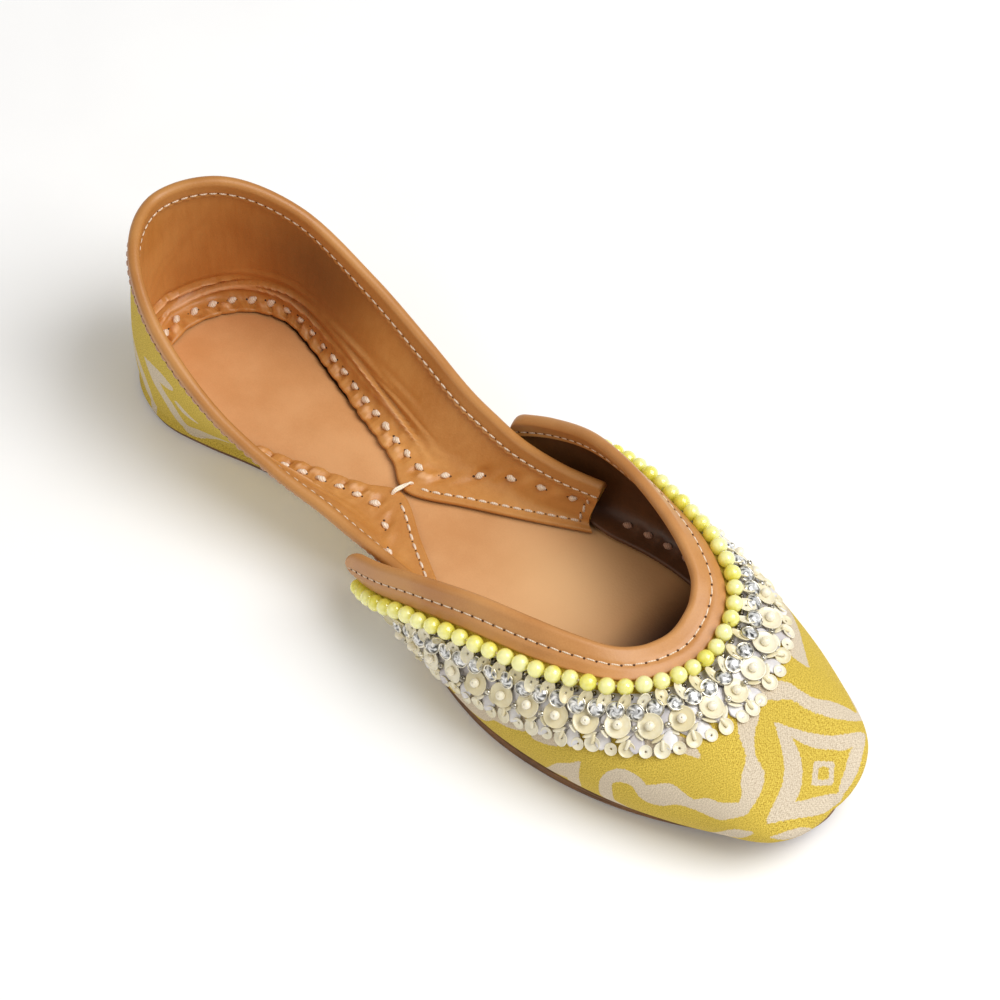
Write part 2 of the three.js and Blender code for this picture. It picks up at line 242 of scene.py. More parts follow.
# The print, as strokes on cloth laid flat: each row is a point and half the stroke's width there.
# On the vamp the point is x from the heel and distance across, below zero on the shoe's right side.
FRAME_LEFT = [(229.8, 2, 0.2), (234.7, 3.2, 1), (239.7, 5.1, 1.5), (244.3, 7.8, 1.4), (247.4, 10.6, 1.5)]
FRAME_RIGHT = [(229.8, 2, 0.2), (234.9, 0.8, 1.4), (239.8, -1.1, 2), (243.3, -3.6, 2.2), (246.1, -7, 2.1)]
FRAME_LEFT_END = (249.1, 16.1, 0.2)
FRAME_RIGHT_END = (248.1, -12.6, 0.2)
FRAME = [
    [*FRAME_LEFT, FRAME_LEFT_END],
    [*FRAME_RIGHT, FRAME_RIGHT_END],
    [FRAME_LEFT_END, (250.5, 10.2, 1.7), (252.6, 7.3, 1.8), (253.9, 4.6, 1.5), (255, 2.5, 0.7)],
    [FRAME_RIGHT_END, (248.9, -8.7, 1.7), (251.3, -5.7, 2), (253.6, -2.1, 2.2), (255.5, 1.5, 1.3)],
]
RING_CORNERS = [(244.7, 2.2, 0.65), (247.6, 4.7, 0.65), (250.8, 2.1, 0.65), (247.9, -0.7, 0.65)]
RING = [[corner, after] for corner, after in zip(RING_CORNERS, RING_CORNERS[1:] + RING_CORNERS[:1])]
RIGHT_BAND = [
    (219, -0.8, 2.4), (223, -1.1, 2.9), (226.8, -4.6, 1.9), (232, -7.1, 0.9), (236.7, -9.3, 2.2),
    (240, -11.7, 2), (241.5, -15.7, 1.7),
]
LEFT_BAND = [
    (219, 2.2, 2.4), (222.6, 5.9, 2.1), (225, 7.8, 2.1), (227.6, 9, 1.4), (230.2, 9.4, 1.2),
    (234.2, 10.2, 1.4), (238.7, 12.6, 2.3), (242.2, 15.2, 2.2), (244.6, 18.8, 1.2), (244.4, 21.8, 1.4),
    (241.5, 24.7, 1.7),
]
LEFT_WEDGE = [(205.7, 35.4, 6.1), (213.1, 27.8, 5.2), (220.3, 21.5, 3.4), (226.3, 19, 0.3)]
RIGHT_WEDGE = [
    (212, -27, 3.4), (217, -20.4, 2.6), (220.3, -17.9, 1.9), (222.4, -17, 1.3), (224.7, -16.5, 0.2),
]
FRONT_PRINT = [*FRAME, *RING, RIGHT_BAND, LEFT_BAND, LEFT_WEDGE, RIGHT_WEDGE]

# These strokes of the right side run alike on the left, about a line beside the shoe's middle
PRINT_MIDDLE = 4.5
OUTER_WAVE = [
    (241.5, -15.7, 1.7), (237.7, -22.8, 2.6), (235.5, -25.2, 3), (231.4, -29.6, 1.7), (228, -31.5, 2.2),
    (224.9, -33.1, 3), (222.2, -37, 3.1), (219.3, -39.4, 2.6), (215.8, -38.5, 2.1), (211.9, -40.1, 2),
    (209.2, -44.2, 1.6), (209.7, -48.4, 2.1), (212.6, -53.2, 2.2), (218, -52.8, 1.4), (223, -52, 0.4),
]
TRIANGLE_TOP = [(192.1, -63.6, 0.2), (196.6, -56.2, 2.7), (199.3, -51.1, 1.8), (200.5, -46.2, 0.1)]
TRIANGLE_SIDE = [(200.5, -46.2, 0.1), (200.1, -52.4, 2), (201.8, -57, 2.4)]
SIDE_PATCH = [
    (149.9, -67.2, 1.7), (162.4, -59.7, 5.2), (169.1, -55.6, 3.8), (175.1, -53.6, 3.4),
    (179.9, -51.4, 2.6),
]
SIDE_LOBE = [(185.4, -50.5, 2.2), (190.1, -47.3, 2.5), (193, -44.4, 2)]
TOE_FOOT = [(240.9, -36.5, 0.9), (244.7, -25.5, 1.8), (247.6, -18.7, 0.5)]
TOE_CORNER = [(251.9, -14.4, 0.4), (255.4, -10, 1.7), (258.3, -6.9, 0.3)]
SIDE_PRINT = [OUTER_WAVE, TRIANGLE_TOP, TRIANGLE_SIDE, SIDE_PATCH, SIDE_LOBE, TOE_FOOT, TOE_CORNER]

# On the quarter the point is the distance along the sole from the heel's middle, and up from the sole.
QUARTER_PRINT = [
    [(0, 44, 0.2), (1.5, 38, 1.6), (5, 31, 2.2), (11, 26.5, 2.2), (18, 25, 0.2)],
    [(0, 6, 0.2), (1.5, 12, 1.6), (5, 19, 2.2), (11, 23.5, 2.2), (18, 25, 0.2)],
    [(0, 28.3, 0.75), (3.2, 25, 0.75), (0, 21.7, 0.75)],
    [(23, 23, 1), (27.5, 16.5, 3), (31, 13, 2.6), (32.6, 8.5, 2.4), (32.8, 4, 2.2), (34.5, -1, 1.4)],
    [(38, 25.6, 1.8), (41.7, 25.3, 3), (44.2, 24.9, 2.4), (46.5, 25.5, 0.5)],
    [(35.3, 25.4, 1), (38.1, 23.2, 2.4), (40.1, 19.1, 2.2), (42, 16.2, 1.9), (43.7, 12.8, 1.9),
     (45.9, 5, 1.7)],
    [(45.9, 5, 1.7), (47.6, 1.8, 1.9), (50.5, 1.8, 2.4), (53.7, 3.2, 2.3), (57.5, 5.3, 1.1), (63, 8, 0.4)],
    [(47, 17.4, 0.8), (49, 14.2, 1.3), (50.7, 12.5, 1.2), (53.2, 11.4, 0.5)],
    [(66, 20, 0.4), (72, 14, 2.2), (79, 11, 1.4), (86, 6, 2.4), (93, 5, 1.6), (100, 10, 2), (108, 12, 1)],
]

# Where painted shade darkens the insole under the vamp, from the shoe's middle
TOE_PAINTED_SHADE = (42.0, 57.0)

# Soft round pools of painted shade on the lining's heel and of painted light on the insole: middle, from
# the shoe's own, reach, colour and strength
LINING_PAINTED_SHADE = [((-88, 27, 31), 34.0, "fold", 0.68)]
INSOLE_PAINTED_LIGHT = [((26, 13, 6), 34.0, "painted_light_leather", 1.0)]

# Dents and swells of the insole: middle, reach along and across, and height
INSOLE_DENTS = [
    (36, 0, 24, 11, -0.35), (68, 2, 14, 8, 0.25), (118, -3, 16, 14, -0.2), (165, 0, 34, 22, -0.45),
]

# Creases of the heel's lining: from and to along the sole, height over the sewn row, half width and height
CREASES = [
    (-52, 104, 3.2, 0.7, 1.1),
    (-46, 96, 5.2, 0.8, 1.25),
    (-30, 84, 7.4, 0.9, 0.95),
    (24, 90, 9.6, 1, 0.6),
    (66, 104, 4.2, 0.5, 1.1),
    (74, 106, 6.4, 0.6, 1),
]
BACK_CREASES = [(-24, 10, 34, 1.4, 0.12), (-15, 16, 40, 1.6, 0.14), (8, 18, 44, 2, 0.1)]

# The underside of a turned-in margin is painted with shade, as dark as a crease of this depth
UNDER_EDGE_PAINTED_SHADE = -1.9

# Colours, as the photograph shows them in full light
COLOURS = {
    "yellow": (231, 204, 84), "yellow_deep": (177, 142, 33),
    "cream": (230, 215, 190), "cream_deep": (191, 173, 147),
    # The pale leather is painted light, for a pool of light on the insole
    "leather": (223, 167, 112), "leather_deep": (208, 148, 92), "painted_light_leather": (250, 198, 140),
    "lining": (208, 147, 77), "lining_deep": (191, 126, 57),
    # Painted shade: the shaded lining colours, for the inside of the toe, and the fold brown, for hollows,
    # edges' undersides and shadowed places
    "painted_shade_lining": (112, 68, 34), "painted_shade_deep": (84, 50, 25), "fold": (74, 40, 19),
    "collar": (195, 136, 71), "collar_deep": (179, 117, 55),
    "binding": (204, 146, 85), "binding_deep": (185, 124, 65),
    "sole": (138, 96, 58), "sole_deep": (84, 54, 30),
    "thread": (246, 230, 208), "thread_deep": (214, 186, 156),
    # The hole brown is painted shade inside needle holes
    "edge_thread": (212, 170, 144), "edge_thread_deep": (176, 128, 102), "hole": (72, 42, 24),
    "bead": (219, 209, 78), "bead_pale": (245, 240, 172),
    "sequin": (242, 234, 208), "sequin_deep": (228, 215, 174),
    "petal": (238, 235, 233), "petal_deep": (206, 200, 201), "pearl": (252, 242, 220),
    "floor": (252, 252, 252), "floor_deep": (246, 246, 246),
}

# Lines and faces


def unit(vectors):
    return vectors / np.linalg.norm(vectors, axis=-1, keepdims=True)


def walked(points):
    """Distances along lines of points from their first"""
    steps = np.linalg.norm(np.diff(points, axis=-2), axis=-1)
    return np.concatenate([np.zeros(steps.shape[:-1] + (1,)), np.cumsum(steps, axis=-1)], axis=-1)


def from_edge(sections):
    """Distances along sections from their last point"""
    return walked(sections[:, ::-1])[:, ::-1]


def smooth_step(value, low, high):
    """From 0 at low to 1 at high, level at both"""
    share = np.clip((value - low) / (high - low), 0, 1)
    return share**2 * (3 - 2 * share)


def window(value, low, high, fade):
    """1 between low and high, fading out across them"""
    rise = smooth_step(value, low - fade / 2, low + fade / 2)
    return rise * smooth_step(-value, -high - fade / 2, fade / 2 - high)


def hump(value, middle, reach):
    """1 at a middle, falling off to both sides of it"""
    return np.exp(-(((value - middle) / reach) ** 2))


def full_turn(sides):
    """Angles once round"""
    return np.arange(sides) * 2 * np.pi / sides


def points_of(x, y, z):
    """Points from their coordinates, each a number or an array"""
    return np.stack(np.broadcast_arrays(x, y, z), -1)


def columns_between(places, known, columns):
    """Columns given at known places, at places between them"""
    return np.stack([np.interp(places, known, column) for column in columns.T], -1)


def curve_between(a, b, c, d, t):
    """Smooth curve from b to c with a before and d after"""
    bend = 2 * a - 5 * b + 4 * c - d + t * (3 * (b - c) + d - a)
    return b + 0.5 * t * (c - a + t * bend)


def columns_at(rows, places):
    """A table's columns at places between its rows, level through the middle of the shoe"""
    last = len(next(iter(rows.values()))) - 1
    places = np.abs(places)
    low = np.minimum(places.astype(int), last - 1)
    made = {}
    for name, column in rows.items():
        before = -column[1] if name in MIRRORED else column[1]
        padded = np.concatenate([[before], column, [2 * column[-1] - column[-2]]])
        made[name] = curve_between(*(padded[low + step] for step in range(4)), places - low)
    return made


def smooth_line(rows, steps=5):
    """Smooth line through a few rows of numbers"""
    rows = np.array(rows, float)
    padded = np.concatenate([2 * rows[:1] - rows[1:2], rows, 2 * rows[-1:] - rows[-2:-1]])
    t = np.arange(steps)[:, None] / steps
    parts = [curve_between(*four, t) for four in zip(padded, padded[1:], padded[2:], padded[3:])]
    return np.concatenate(parts + [rows[-1:]])


LEFT_EDGE = np.stack([SOLE_ROWS["x"], SOLE_ROWS["half"]], -1)
OUTLINE = np.concatenate([LEFT_EDGE, LEFT_EDGE[-2:0:-1] * (1, -1)])


def outline_at(share):
    """Points of the sole's closed outline: the left side from heel to toe is its first half"""
    place = np.asarray(share, float) * len(OUTLINE)
    low = np.floor(place).astype(int)
    a, b, c, d = (OUTLINE[(low + step) % len(OUTLINE)] for step in (-1, 0, 1, 2))
    spans = (np.linalg.norm(step, axis=-1, keepdims=True) for step in (b - a, c - b, d - c))
    first, second, third = (span**0.5 for span in spans)
    leave = ((b - a) / first - (c - a) / (first + second) + (c - b) / second) * second
    arrive = ((c - b) / second - (d - b) / (second + third) + (d - c) / third) * second
    s = (place - low)[..., None]
    return b + s * (leave + s * (3 * (c - b) - 2 * leave - arrive + s * (2 * (b - c) + leave + arrive)))


def outward_at(share):
    """Level direction out of the sole at places of its outline"""
    ahead = outline_at(share + 1e-4) - outline_at(share - 1e-4)
    return unit(np.stack([-ahead[..., 1], ahead[..., 0]], -1))


def ground(x):
    """Height of the sole's underside above the floor"""
    spring = TOE_SPRING * np.maximum(0, (x - SPRING_START) / (LENGTH - SPRING_START)) ** 2
    middle = np.clip((x - ARCH_FROM) / (ARCH_TO - ARCH_FROM), 0, 1)
    return spring + ARCH * np.sin(np.pi * middle) ** 2


def foot_height(x):
    return ground(x) + SOLE + GAP


class Face:
    """A face of many sections, looked up by place along it and by distance along a section from its first
    point; its topline is rounded at both ends by the corner's radius"""

    def __init__(self, places, sections, flip=1, corner=0.0):
        self.places = places
        self.corner = corner
        lengths = walked(sections)
        self.length = lengths[:, -1]
        shares = np.linspace(0, 1, EVEN_STEPS)
        self.points = np.array(
            [columns_between(shares * run[-1], run, line) for run, line in zip(lengths, sections)]
        )
        along = np.gradient(self.points, axis=0)
        down = np.gradient(self.points, axis=1)
        self.along = unit(along)
        self.normals = flip * unit(np.cross(down, along))

    def look_up(self, grid, place, distance):
        i = np.interp(place, self.places, np.arange(len(self.places)))
        j = np.clip(distance / self.length_at(place), 0, 1) * (EVEN_STEPS - 1)
        i, j = np.broadcast_arrays(i, j)
        low_i = np.minimum(i.astype(int), len(self.places) - 2)
        low_j = np.minimum(j.astype(int), EVEN_STEPS - 2)
        a, b = (i - low_i)[..., None], (j - low_j)[..., None]
        near = grid[low_i, low_j] * (1 - a) + grid[low_i + 1, low_j] * a
        far = grid[low_i, low_j + 1] * (1 - a) + grid[low_i + 1, low_j + 1] * a
        return near * (1 - b) + far * b

    def length_at(self, place):
        return np.interp(place, self.places, self.length)

    def corner_at(self, place):
        """How far the topline is cut away at places, where its two ends are rounded"""
        run = np.interp(place, self.places, walked(self.points[:, 4]))
        near = np.minimum(run, run.max() - run)
        return self.corner - np.sqrt(self.corner**2 - np.maximum(self.corner - near, 0) ** 2)

    def at(self, place, distance, offset=0.0):
        """Points off the face by an offset"""
        normal = unit(self.look_up(self.normals, place, distance))
        return self.look_up(self.points, place, distance) + normal * np.asarray(offset, float)[..., None]

    def frames(self, place, distance, offset=0.0):
        """Origins on the face and their axes: along it, across it and out of it"""
        out = unit(self.look_up(self.normals, place, distance))
        along = self.look_up(self.along, place, distance)
        along = unit(along - out * np.sum(along * out, -1, keepdims=True))
        axes = np.stack([along, np.cross(out, along), out], -2)
        return self.at(place, distance, offset), axes

    def spaced(self, distance, pitch, low=None, high=None, margin=0.0):
        """Places about a pitch apart along the line a distance along the sections"""
        low = self.places[0] if low is None else low
        high = self.places[-1] if high is None else high
        places = np.linspace(low, high, WALL_PLACES)
        run = walked(self.at(places, distance(places) if callable(distance) else distance))
        count = max(1, round((run[-1] - 2 * margin) / pitch))
        return np.interp(np.linspace(margin, run[-1] - margin, count + 1), run, places)


def bezier(t, a, b, c, d):
    return a * (1 - t) ** 3 + 3 * b * t * (1 - t) ** 2 + 3 * c * t**2 * (1 - t) + d * t**3


def wall_face(rows, flip, corner):
    """Outer face of a wall of the upper, from its topline down to its foot"""
    last = len(rows["foot_x"]) - 1
    shares = np.linspace(0, 0.5, 4001)
    reached = np.maximum.accumulate(outline_at(shares)[:, 0])
    rows["foot_place"] = np.interp(rows["foot_x"], reached, shares)
    places = np.linspace(-last, last, WALL_PLACES)
    row = {name: column[:, None] for name, column in columns_at(rows, places).items()}
    outward = outward_at(row["foot_place"][:, 0])
    foot = outline_at(row["foot_place"][:, 0]) - outward * row["inset"]
    foot = np.hstack([foot, foot_height(foot[:, :1]) + row.get("lift", 0)])
    outward = np.hstack([outward, np.zeros((len(places), 1))])
    top = np.hstack([row["top_x"], row["top_w"], row["top_z"]])
    low = foot + outward * row["out"] + row["rise"] * (0, 0, 1)
    high = top + (foot - top) * row["share"] + outward * row["swell"]
    high[:, 2:] = row["top_z"] - row["drop"]
    up = np.linspace(1, 0, WALL_UPS)[:, None]
    points = bezier(up, *(point[:, None] for point in (foot, low, high, top)))
    points[places < 0, :, 1] *= -1
    return Face(places, points, flip, corner)


QUARTER = wall_face(QUARTER_ROWS, -1, QUARTER_CORNER)
VAMP = wall_face(VAMP_ROWS, 1, VAMP_CORNER)

# Meshes


def grid_faces(rows, columns, close_rows=False, close_columns=False):
    """Quads of a grid of points"""
    index = np.arange(rows * columns).reshape(rows, columns)
    if close_rows:
        index = np.vstack([index, index[:1]])
    if close_columns:
        index = np.hstack([index, index[:, :1]])
    corners = (index[:-1, :-1], index[1:, :-1], index[1:, 1:], index[:-1, 1:])
    return np.stack(corners, -1).reshape(-1, 4)


def outward_faces(points, faces):
    """Faces of a closed body, turned to look out of it"""
    a, b, c, d = (points[faces[:, corner]] for corner in range(4))
    volume = np.sum(a * np.cross(b, c)) + np.sum(a * np.cross(c, d))
    return faces if volume > 0 else faces[:, ::-1]


def loft(sections):
    """Closed body through sections that are closed loops of points, its ends capped by strips across"""
    count, around = sections.shape[:2]
    j = np.arange(around // 2 - 1)
    strip = np.stack([j, j + 1, around - 2 - j, around - 1 - j], -1)
    sides = grid_faces(count, around, close_columns=True)
    points = sections.reshape(-1, 3)
    faces = np.concatenate([sides, strip, strip[:, ::-1] + (count - 1) * around])
    return points, outward_faces(points, faces)


def sheet(front, back):
    """Closed body between two grids of points"""
    return loft(np.concatenate([front, back[:, ::-1]], 1))


def ring_body(rings):
    """Closed body through rings of points, the last joined to the first"""
    points = rings.reshape(-1, 3)
    return points, outward_faces(points, grid_faces(*rings.shape[:2], True, True))


def lathe(profile, sides):
    """Body turned about z from a closed profile of radii and heights"""
    radius, height = np.array(profile, float).T
    turn = full_turn(sides)[:, None]
    return ring_body(points_of(radius * np.cos(turn), radius * np.sin(turn), height))


def ball(radius, hole, steps, squash=1.0):
    """Profile of a drilled ball"""
    first = math.asin(hole / radius)
    turn = np.linspace(first, np.pi - first, steps)
    return np.stack([radius * np.sin(turn), radius * squash * np.cos(turn)], -1)


def spindle(stations, sides, sink=0.0):
    """Body along x through rows of x and radius, its ends sunk"""
    x, radius = np.array(stations, float).T[..., None]
    turn = full_turn(sides)
    return loft(points_of(x, radius * np.cos(turn), radius * np.sin(turn) - sink * (x / x.max()) ** 2))


def stitch(length, radius):
    half = length / 2
    ends = [(1, 0.3), (0.85, 0.8), (0.4, 1)]
    stations = [(-x * half, radius * share) for x, share in ends]
    stations += [(x * half, radius * share) for x, share in ends[::-1]]
    return spindle(stations, 8, sink=radius * 0.9)


def leaf(length, width, thickness, curl=0.0):
    """Thin leaf along x from its base, pointed at both ends"""
    share = np.linspace(0.03, 0.97, 9)[:, None]
    turn = full_turn(8)
    across = width / 2 * np.sin(np.pi * share) ** 0.8
    height = thickness / 2 * np.sin(turn) + curl * share**2
    return loft(points_of(length * share, across * np.cos(turn), height))


def copies(template, frames, scale=1.0):
    """A template set at many frames, as one mesh"""
    points, faces = template
    origins, axes = frames
    scale = np.broadcast_to(scale, (len(origins),))[:, None, None]
    made = origins[:, None] + np.einsum("vk,nkc->nvc", points, axes) * scale
    shift = np.arange(len(origins))[:, None, None] * len(points)
    return made.reshape(-1, 3), (faces[None] + shift).reshape(-1, faces.shape[1])


def spread(numbers, template):
    """One number or vector for each copy, given to all its points"""
    return np.repeat(numbers, len(template[0]), 0)


def joined(*meshes):
    """Several meshes as one"""
    starts = np.cumsum([0] + [len(points) for points, _ in meshes[:-1]])
    points = np.concatenate([points for points, _ in meshes])
    return points, np.concatenate([faces + start for (_, faces), start in zip(meshes, starts)])


def together(rows):
    """Several rows of frames as one"""
    return tuple(np.concatenate(part) for part in zip(*rows))


def turned(frames, order):
    """Frames whose axes are taken in another order"""
    origins, axes = frames
    return origins, axes[:, order]


def tilted(frames, about, angle):
    """Frames turned about one of their own axes"""
    origins, axes = frames
    first, second = ((1, 2), (2, 0), (0, 1))[about]
    angle = np.broadcast_to(angle, (len(origins),))[:, None]
    made = axes.copy()
    made[:, first] = np.cos(angle) * axes[:, first] + np.sin(angle) * axes[:, second]
    made[:, second] = np.cos(angle) * axes[:, second] - np.sin(angle) * axes[:, first]
    return origins, made


def leaning(frames, *leans):
    """Frames tilted by chance: each lean is an axis, the usual angle about it and how far that strays"""
    for about, usual, stray in leans:
        frames = tilted(frames, about, chance.normal(usual, stray, len(frames[0])))
    return frames


def tube(path, radius, sides=8):
    """Round tube along a line of points"""
    ahead = unit(np.gradient(path, axis=0))
    side = unit(np.cross(ahead, (0.0, 0.0, 1.0)))
    over = np.cross(side, ahead)
    turn = full_turn(sides)[:, None]
    ring = side[:, None] * np.cos(turn) + over[:, None] * np.sin(turn)
    return loft(path[:, None] + ring * radius)


def placed(name, data):
    """An object of the scene from its data"""
    made = bpy.data.objects.new(name, data)
    bpy.context.scene.collection.objects.link(made)
    return made


def piece(name, mesh, look, slot=None, node=None, sharp=None, **values):
    """A piece of the shoe from points in millimetres, riding on it; its points carry the values"""
    points, faces = mesh
    data = bpy.data.meshes.new(name)
    data.from_pydata((points - (LENGTH / 2, 0, 0)) / 1000, [], faces)
    data.shade_smooth()
    if sharp:
        data.set_sharp_from_angle(angle=math.radians(sharp))
    for label, numbers in values.items():
        numbers = np.asarray(numbers, np.float32)
        kind, field = ("FLOAT", "value") if numbers.ndim == 1 else ("FLOAT_VECTOR", "vector")
        layer = data.attributes.new(label, kind, "POINT")
        layer.data.foreach_set(field, numbers.ravel())
    data.materials.append(look)
    made = placed(name, data)
    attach(made, "root")
    if node:
        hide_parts(node)


# Materials


def colour(name):
    """A named colour as linear red, green, blue and alpha"""
    share = np.array(COLOURS[name]) / 255
    linear = np.where(share <= 0.04045, share / 12.92, ((share + 0.055) / 1.055) ** 2.4)
    return (*linear.tolist(), 1.0)


class Look:
    """One procedural material under construction"""

    def __init__(self, name, **sockets):
        self.material = bpy.data.materials.new(name)
        self.material.use_nodes = True
        self.tree = self.material.node_tree
        self.shader = self.tree.nodes["Principled BSDF"]
        for socket, value in sockets.items():
            self.shader.inputs[socket.replace("_", " ")].default_value = value

    def add(self, kind, inputs, out=0, **settings):
        """A node with its inputs set or linked; gives one of its outputs"""
        node = self.tree.nodes.new("ShaderNode" + kind)
        for setting, value in settings.items():
            setattr(node, setting, value)
        for socket, value in inputs.items():
            if isinstance(value, bpy.types.NodeSocket):
                self.tree.links.new(value, node.inputs[socket])
            else:
                node.inputs[socket].default_value = value
        return node.outputs[out]

    def feed(self, socket, value):
        self.tree.links.new(value, self.shader.inputs[socket])

    def value(self, name):
        """A number that the mesh carries"""
        return self.add("Attribute", {}, "Fac", attribute_name=name)

    def vector(self, name):
        return self.add("Attribute", {}, "Vector", attribute_name=name)

    def millimetres(self):
        """Place on the shoe, in millimetres"""
        place = self.add("TexCoord", {}, "Object")
        return self.add("VectorMath", {0: place, "Scale": 1000.0}, operation="SCALE")

    def stretched(self, vector, scale):
        return self.add("VectorMath", {0: vector, 1: scale}, operation="MULTIPLY")

    def axis(self, vector, index):
        return self.add("SeparateXYZ", {0: vector}, index)

    def math(self, operation, first, second=0.0):
        return self.add("Math", {0: first, 1: second}, operation=operation)

    def total(self, first, *others):
        """A number and others added to it, each with its weight"""
        for value, weight in others:
            first = self.math("ADD", first, self.math("MULTIPLY", value, weight))
        return first

    def strayed(self, value, noise, reach):
        """A number moved up and down by noise"""
        return self.total(value, (self.math("SUBTRACT", noise, 0.5), reach))

    def noise(self, vector, scale, detail=2.0):
        """Cloudy noise from 0 to 1, with scale in clouds to the millimetre"""
        return self.add("TexNoise", {"Vector": vector, "Scale": scale, "Detail": detail}, "Fac")

    def span(self, value, low, high, least=0.0, most=1.0):
        """Value from low to high brought to a span, smooth at its ends"""
        inputs = {"Value": value, 1: low, 2: high, 3: least, 4: most}
        return self.add("MapRange", inputs, interpolation_type="SMOOTHSTEP")

    def mix(self, share, first, second):
        """Colour between two, each a colour's name, its numbers or a socket"""
        first, second = (colour(c) if isinstance(c, str) else c for c in (first, second))
        return self.add("Mix", {0: share, 6: first, 7: second}, 2, data_type="RGBA")

    def tinted(self, noise, reach, first, second):
        """Colour between two by the tint that the mesh carries, clouded by noise"""
        share = self.strayed(self.value("tint"), noise, reach)
        return self.mix(self.span(share, 0.0, 1.0), first, second)

    def bump(self, height, strength, depth):
        """Relief of a depth in millimetres"""
        inputs = {"Height": height, "Strength": strength, "Distance": depth / 1000}
        self.feed("Normal", self.add("Bump", inputs))


def cloth_look():
    """Printed canvas: yellow ground, cream print, both broken up by the weave"""
    look = Look("printed_cloth", Roughness=0.85)
    flat = look.vector("flat")
    turns = [look.math("MULTIPLY", look.axis(flat, index), 2 * math.pi / WEAVE_PITCH) for index in (0, 1)]
    threads = look.math("MULTIPLY", *(look.math("SINE", turn) for turn in turns))
    slubs = look.noise(flat, 1.5, 3.0)
    fine = look.noise(flat, 2.6, 2.0)
    grain = look.span(look.total(fine, (threads, 0.07)), 0.22, 0.72)
    ink = look.span(look.strayed(look.value("print"), slubs, 0.9), 0.16, -0.16)
    ground_colour = look.mix(grain, "yellow_deep", "yellow")
    print_colour = look.mix(grain, "cream_deep", "cream")
    look.feed("Base Color", look.mix(ink, ground_colour, print_colour))
    look.bump(look.total(threads, (fine, 1.4)), 0.6, 0.14)
    return look.material


def leather_look(name, light, deep, roughness, grain=1.3, creased=False, painted_pools=(), toe_painted_shade=None):
    """Smooth tan leather with pores, soft clouds of tone and a light polish; creased leather is streaked,
    with painted shade in its hollows and under its edges and painted light on its crests; the pools it is
    given add soft rounds of painted light and painted shade, and past a place near the toe painted shade
    darkens it"""
    look = Look(name, Coat_Weight=0.12, Coat_Roughness=0.35)
    place = look.millimetres()
    clouds = look.noise(place, 0.05, 4.0)
    specks = look.noise(place, 2.2, 3.0)
    pores = look.add("TexVoronoi", {"Vector": place, "Scale": grain}, "Distance")
    relief = look.total(pores, (specks, 0.6))
    tone = look.span(look.total(clouds, (specks, 0.25)), 0.38, 0.86)
    if creased:
        depth = look.value("crease")
        streaks = look.noise(look.stretched(place, (0.55, 0.55, 0.06)), 1.0, 3.0)
        relief = look.total(relief, (streaks, 4.0))
        # Painted shade and light from the crease depth: tone darker in the hollows, lighter on the crests
        shade = look.span(depth, -0.35, 0.25, 0.5, 1.2)
        tone = look.math("MULTIPLY", look.strayed(tone, streaks, 0.9), shade)
    base = look.mix(tone, deep, light)
    if creased:
        # Painted shade in deep hollows and under edges, in fold brown; painted light on high crests, in
        # the insole's leather colour
        base = look.mix(look.span(depth, -0.5, -1.9), base, "fold")
        base = look.mix(look.span(depth, 0.25, 0.75), base, "leather")
    # Pools of painted light and painted shade, each a soft round mix towards its colour
    for middle, reach, tone, strength in painted_pools:
        away = look.add("VectorMath", {0: place, 1: middle}, "Value", operation="DISTANCE")
        base = look.mix(look.span(away, reach, 0.0, 0.0, strength), base, tone)
    # Painted shade: past a place near the toe the insole darkens to fold brown, as under the vamp
    if toe_painted_shade:
        base = look.mix(look.span(look.axis(place, 0), *toe_painted_shade), base, "fold")
    look.feed("Base Color", base)
    look.feed("Roughness", look.span(clouds, 0.25, 0.75, roughness - 0.07, roughness + 0.09))
    look.bump(relief, 0.22, 0.12)
    return look.material


def sole_look():
    """Thick dark sole leather, its cut edge in layers and its underside scuffed"""
    look = Look("sole_leather", Coat_Weight=0.05, Coat_Roughness=0.5)
    place = look.millimetres()
    clouds = look.noise(place, 0.09, 4.0)
    fibres = look.noise(look.stretched(place, (0.4, 0.4, 5.0)), 1.0, 3.0)
    layers = look.math("SINE", look.math("MULTIPLY", look.axis(place, 2), 5.2))
    tone = look.total(look.math("MULTIPLY", fibres, 0.7), (clouds, 0.5), (layers, 0.06))
    look.feed("Base Color", look.mix(look.span(tone, 0.35, 0.85), "sole_deep", "sole"))
    look.feed("Roughness", look.span(clouds, 0.3, 0.7, 0.5, 0.68))
    look.bump(fibres, 0.35, 0.25)
    return look.material


def thread_look(name, light, deep):
    """Waxed cotton thread, two plies showing as slanting ribs"""
    look = Look(name, Roughness=0.6, Sheen_Weight=0.2)
    place = look.millimetres()
    fluff = look.noise(place, 3.5, 3.0)
    waves = {"Vector": place, "Scale": 0.7, "Distortion": 2.0}
    ribs = look.add("TexWave", waves, "Fac", bands_direction="DIAGONAL")
    tone = look.total(look.math("MULTIPLY", fluff, 0.6), (ribs, 0.4))
    look.feed("Base Color", look.mix(look.span(tone, 0.2, 0.75), deep, light))
    look.bump(tone, 0.5, 0.15)
    return look.material


def hole_shade_look():
    """Needle holes, dark in the middle with painted shade and rubbed at the rim"""
    look = Look("needle_hole_painted_shade", Roughness=0.9)
    rub = look.noise(look.millimetres(), 3.0, 2.0)
    look.feed("Base Color", look.mix(look.span(rub, 0.45, 0.85), "hole", "sole"))
    return look.material


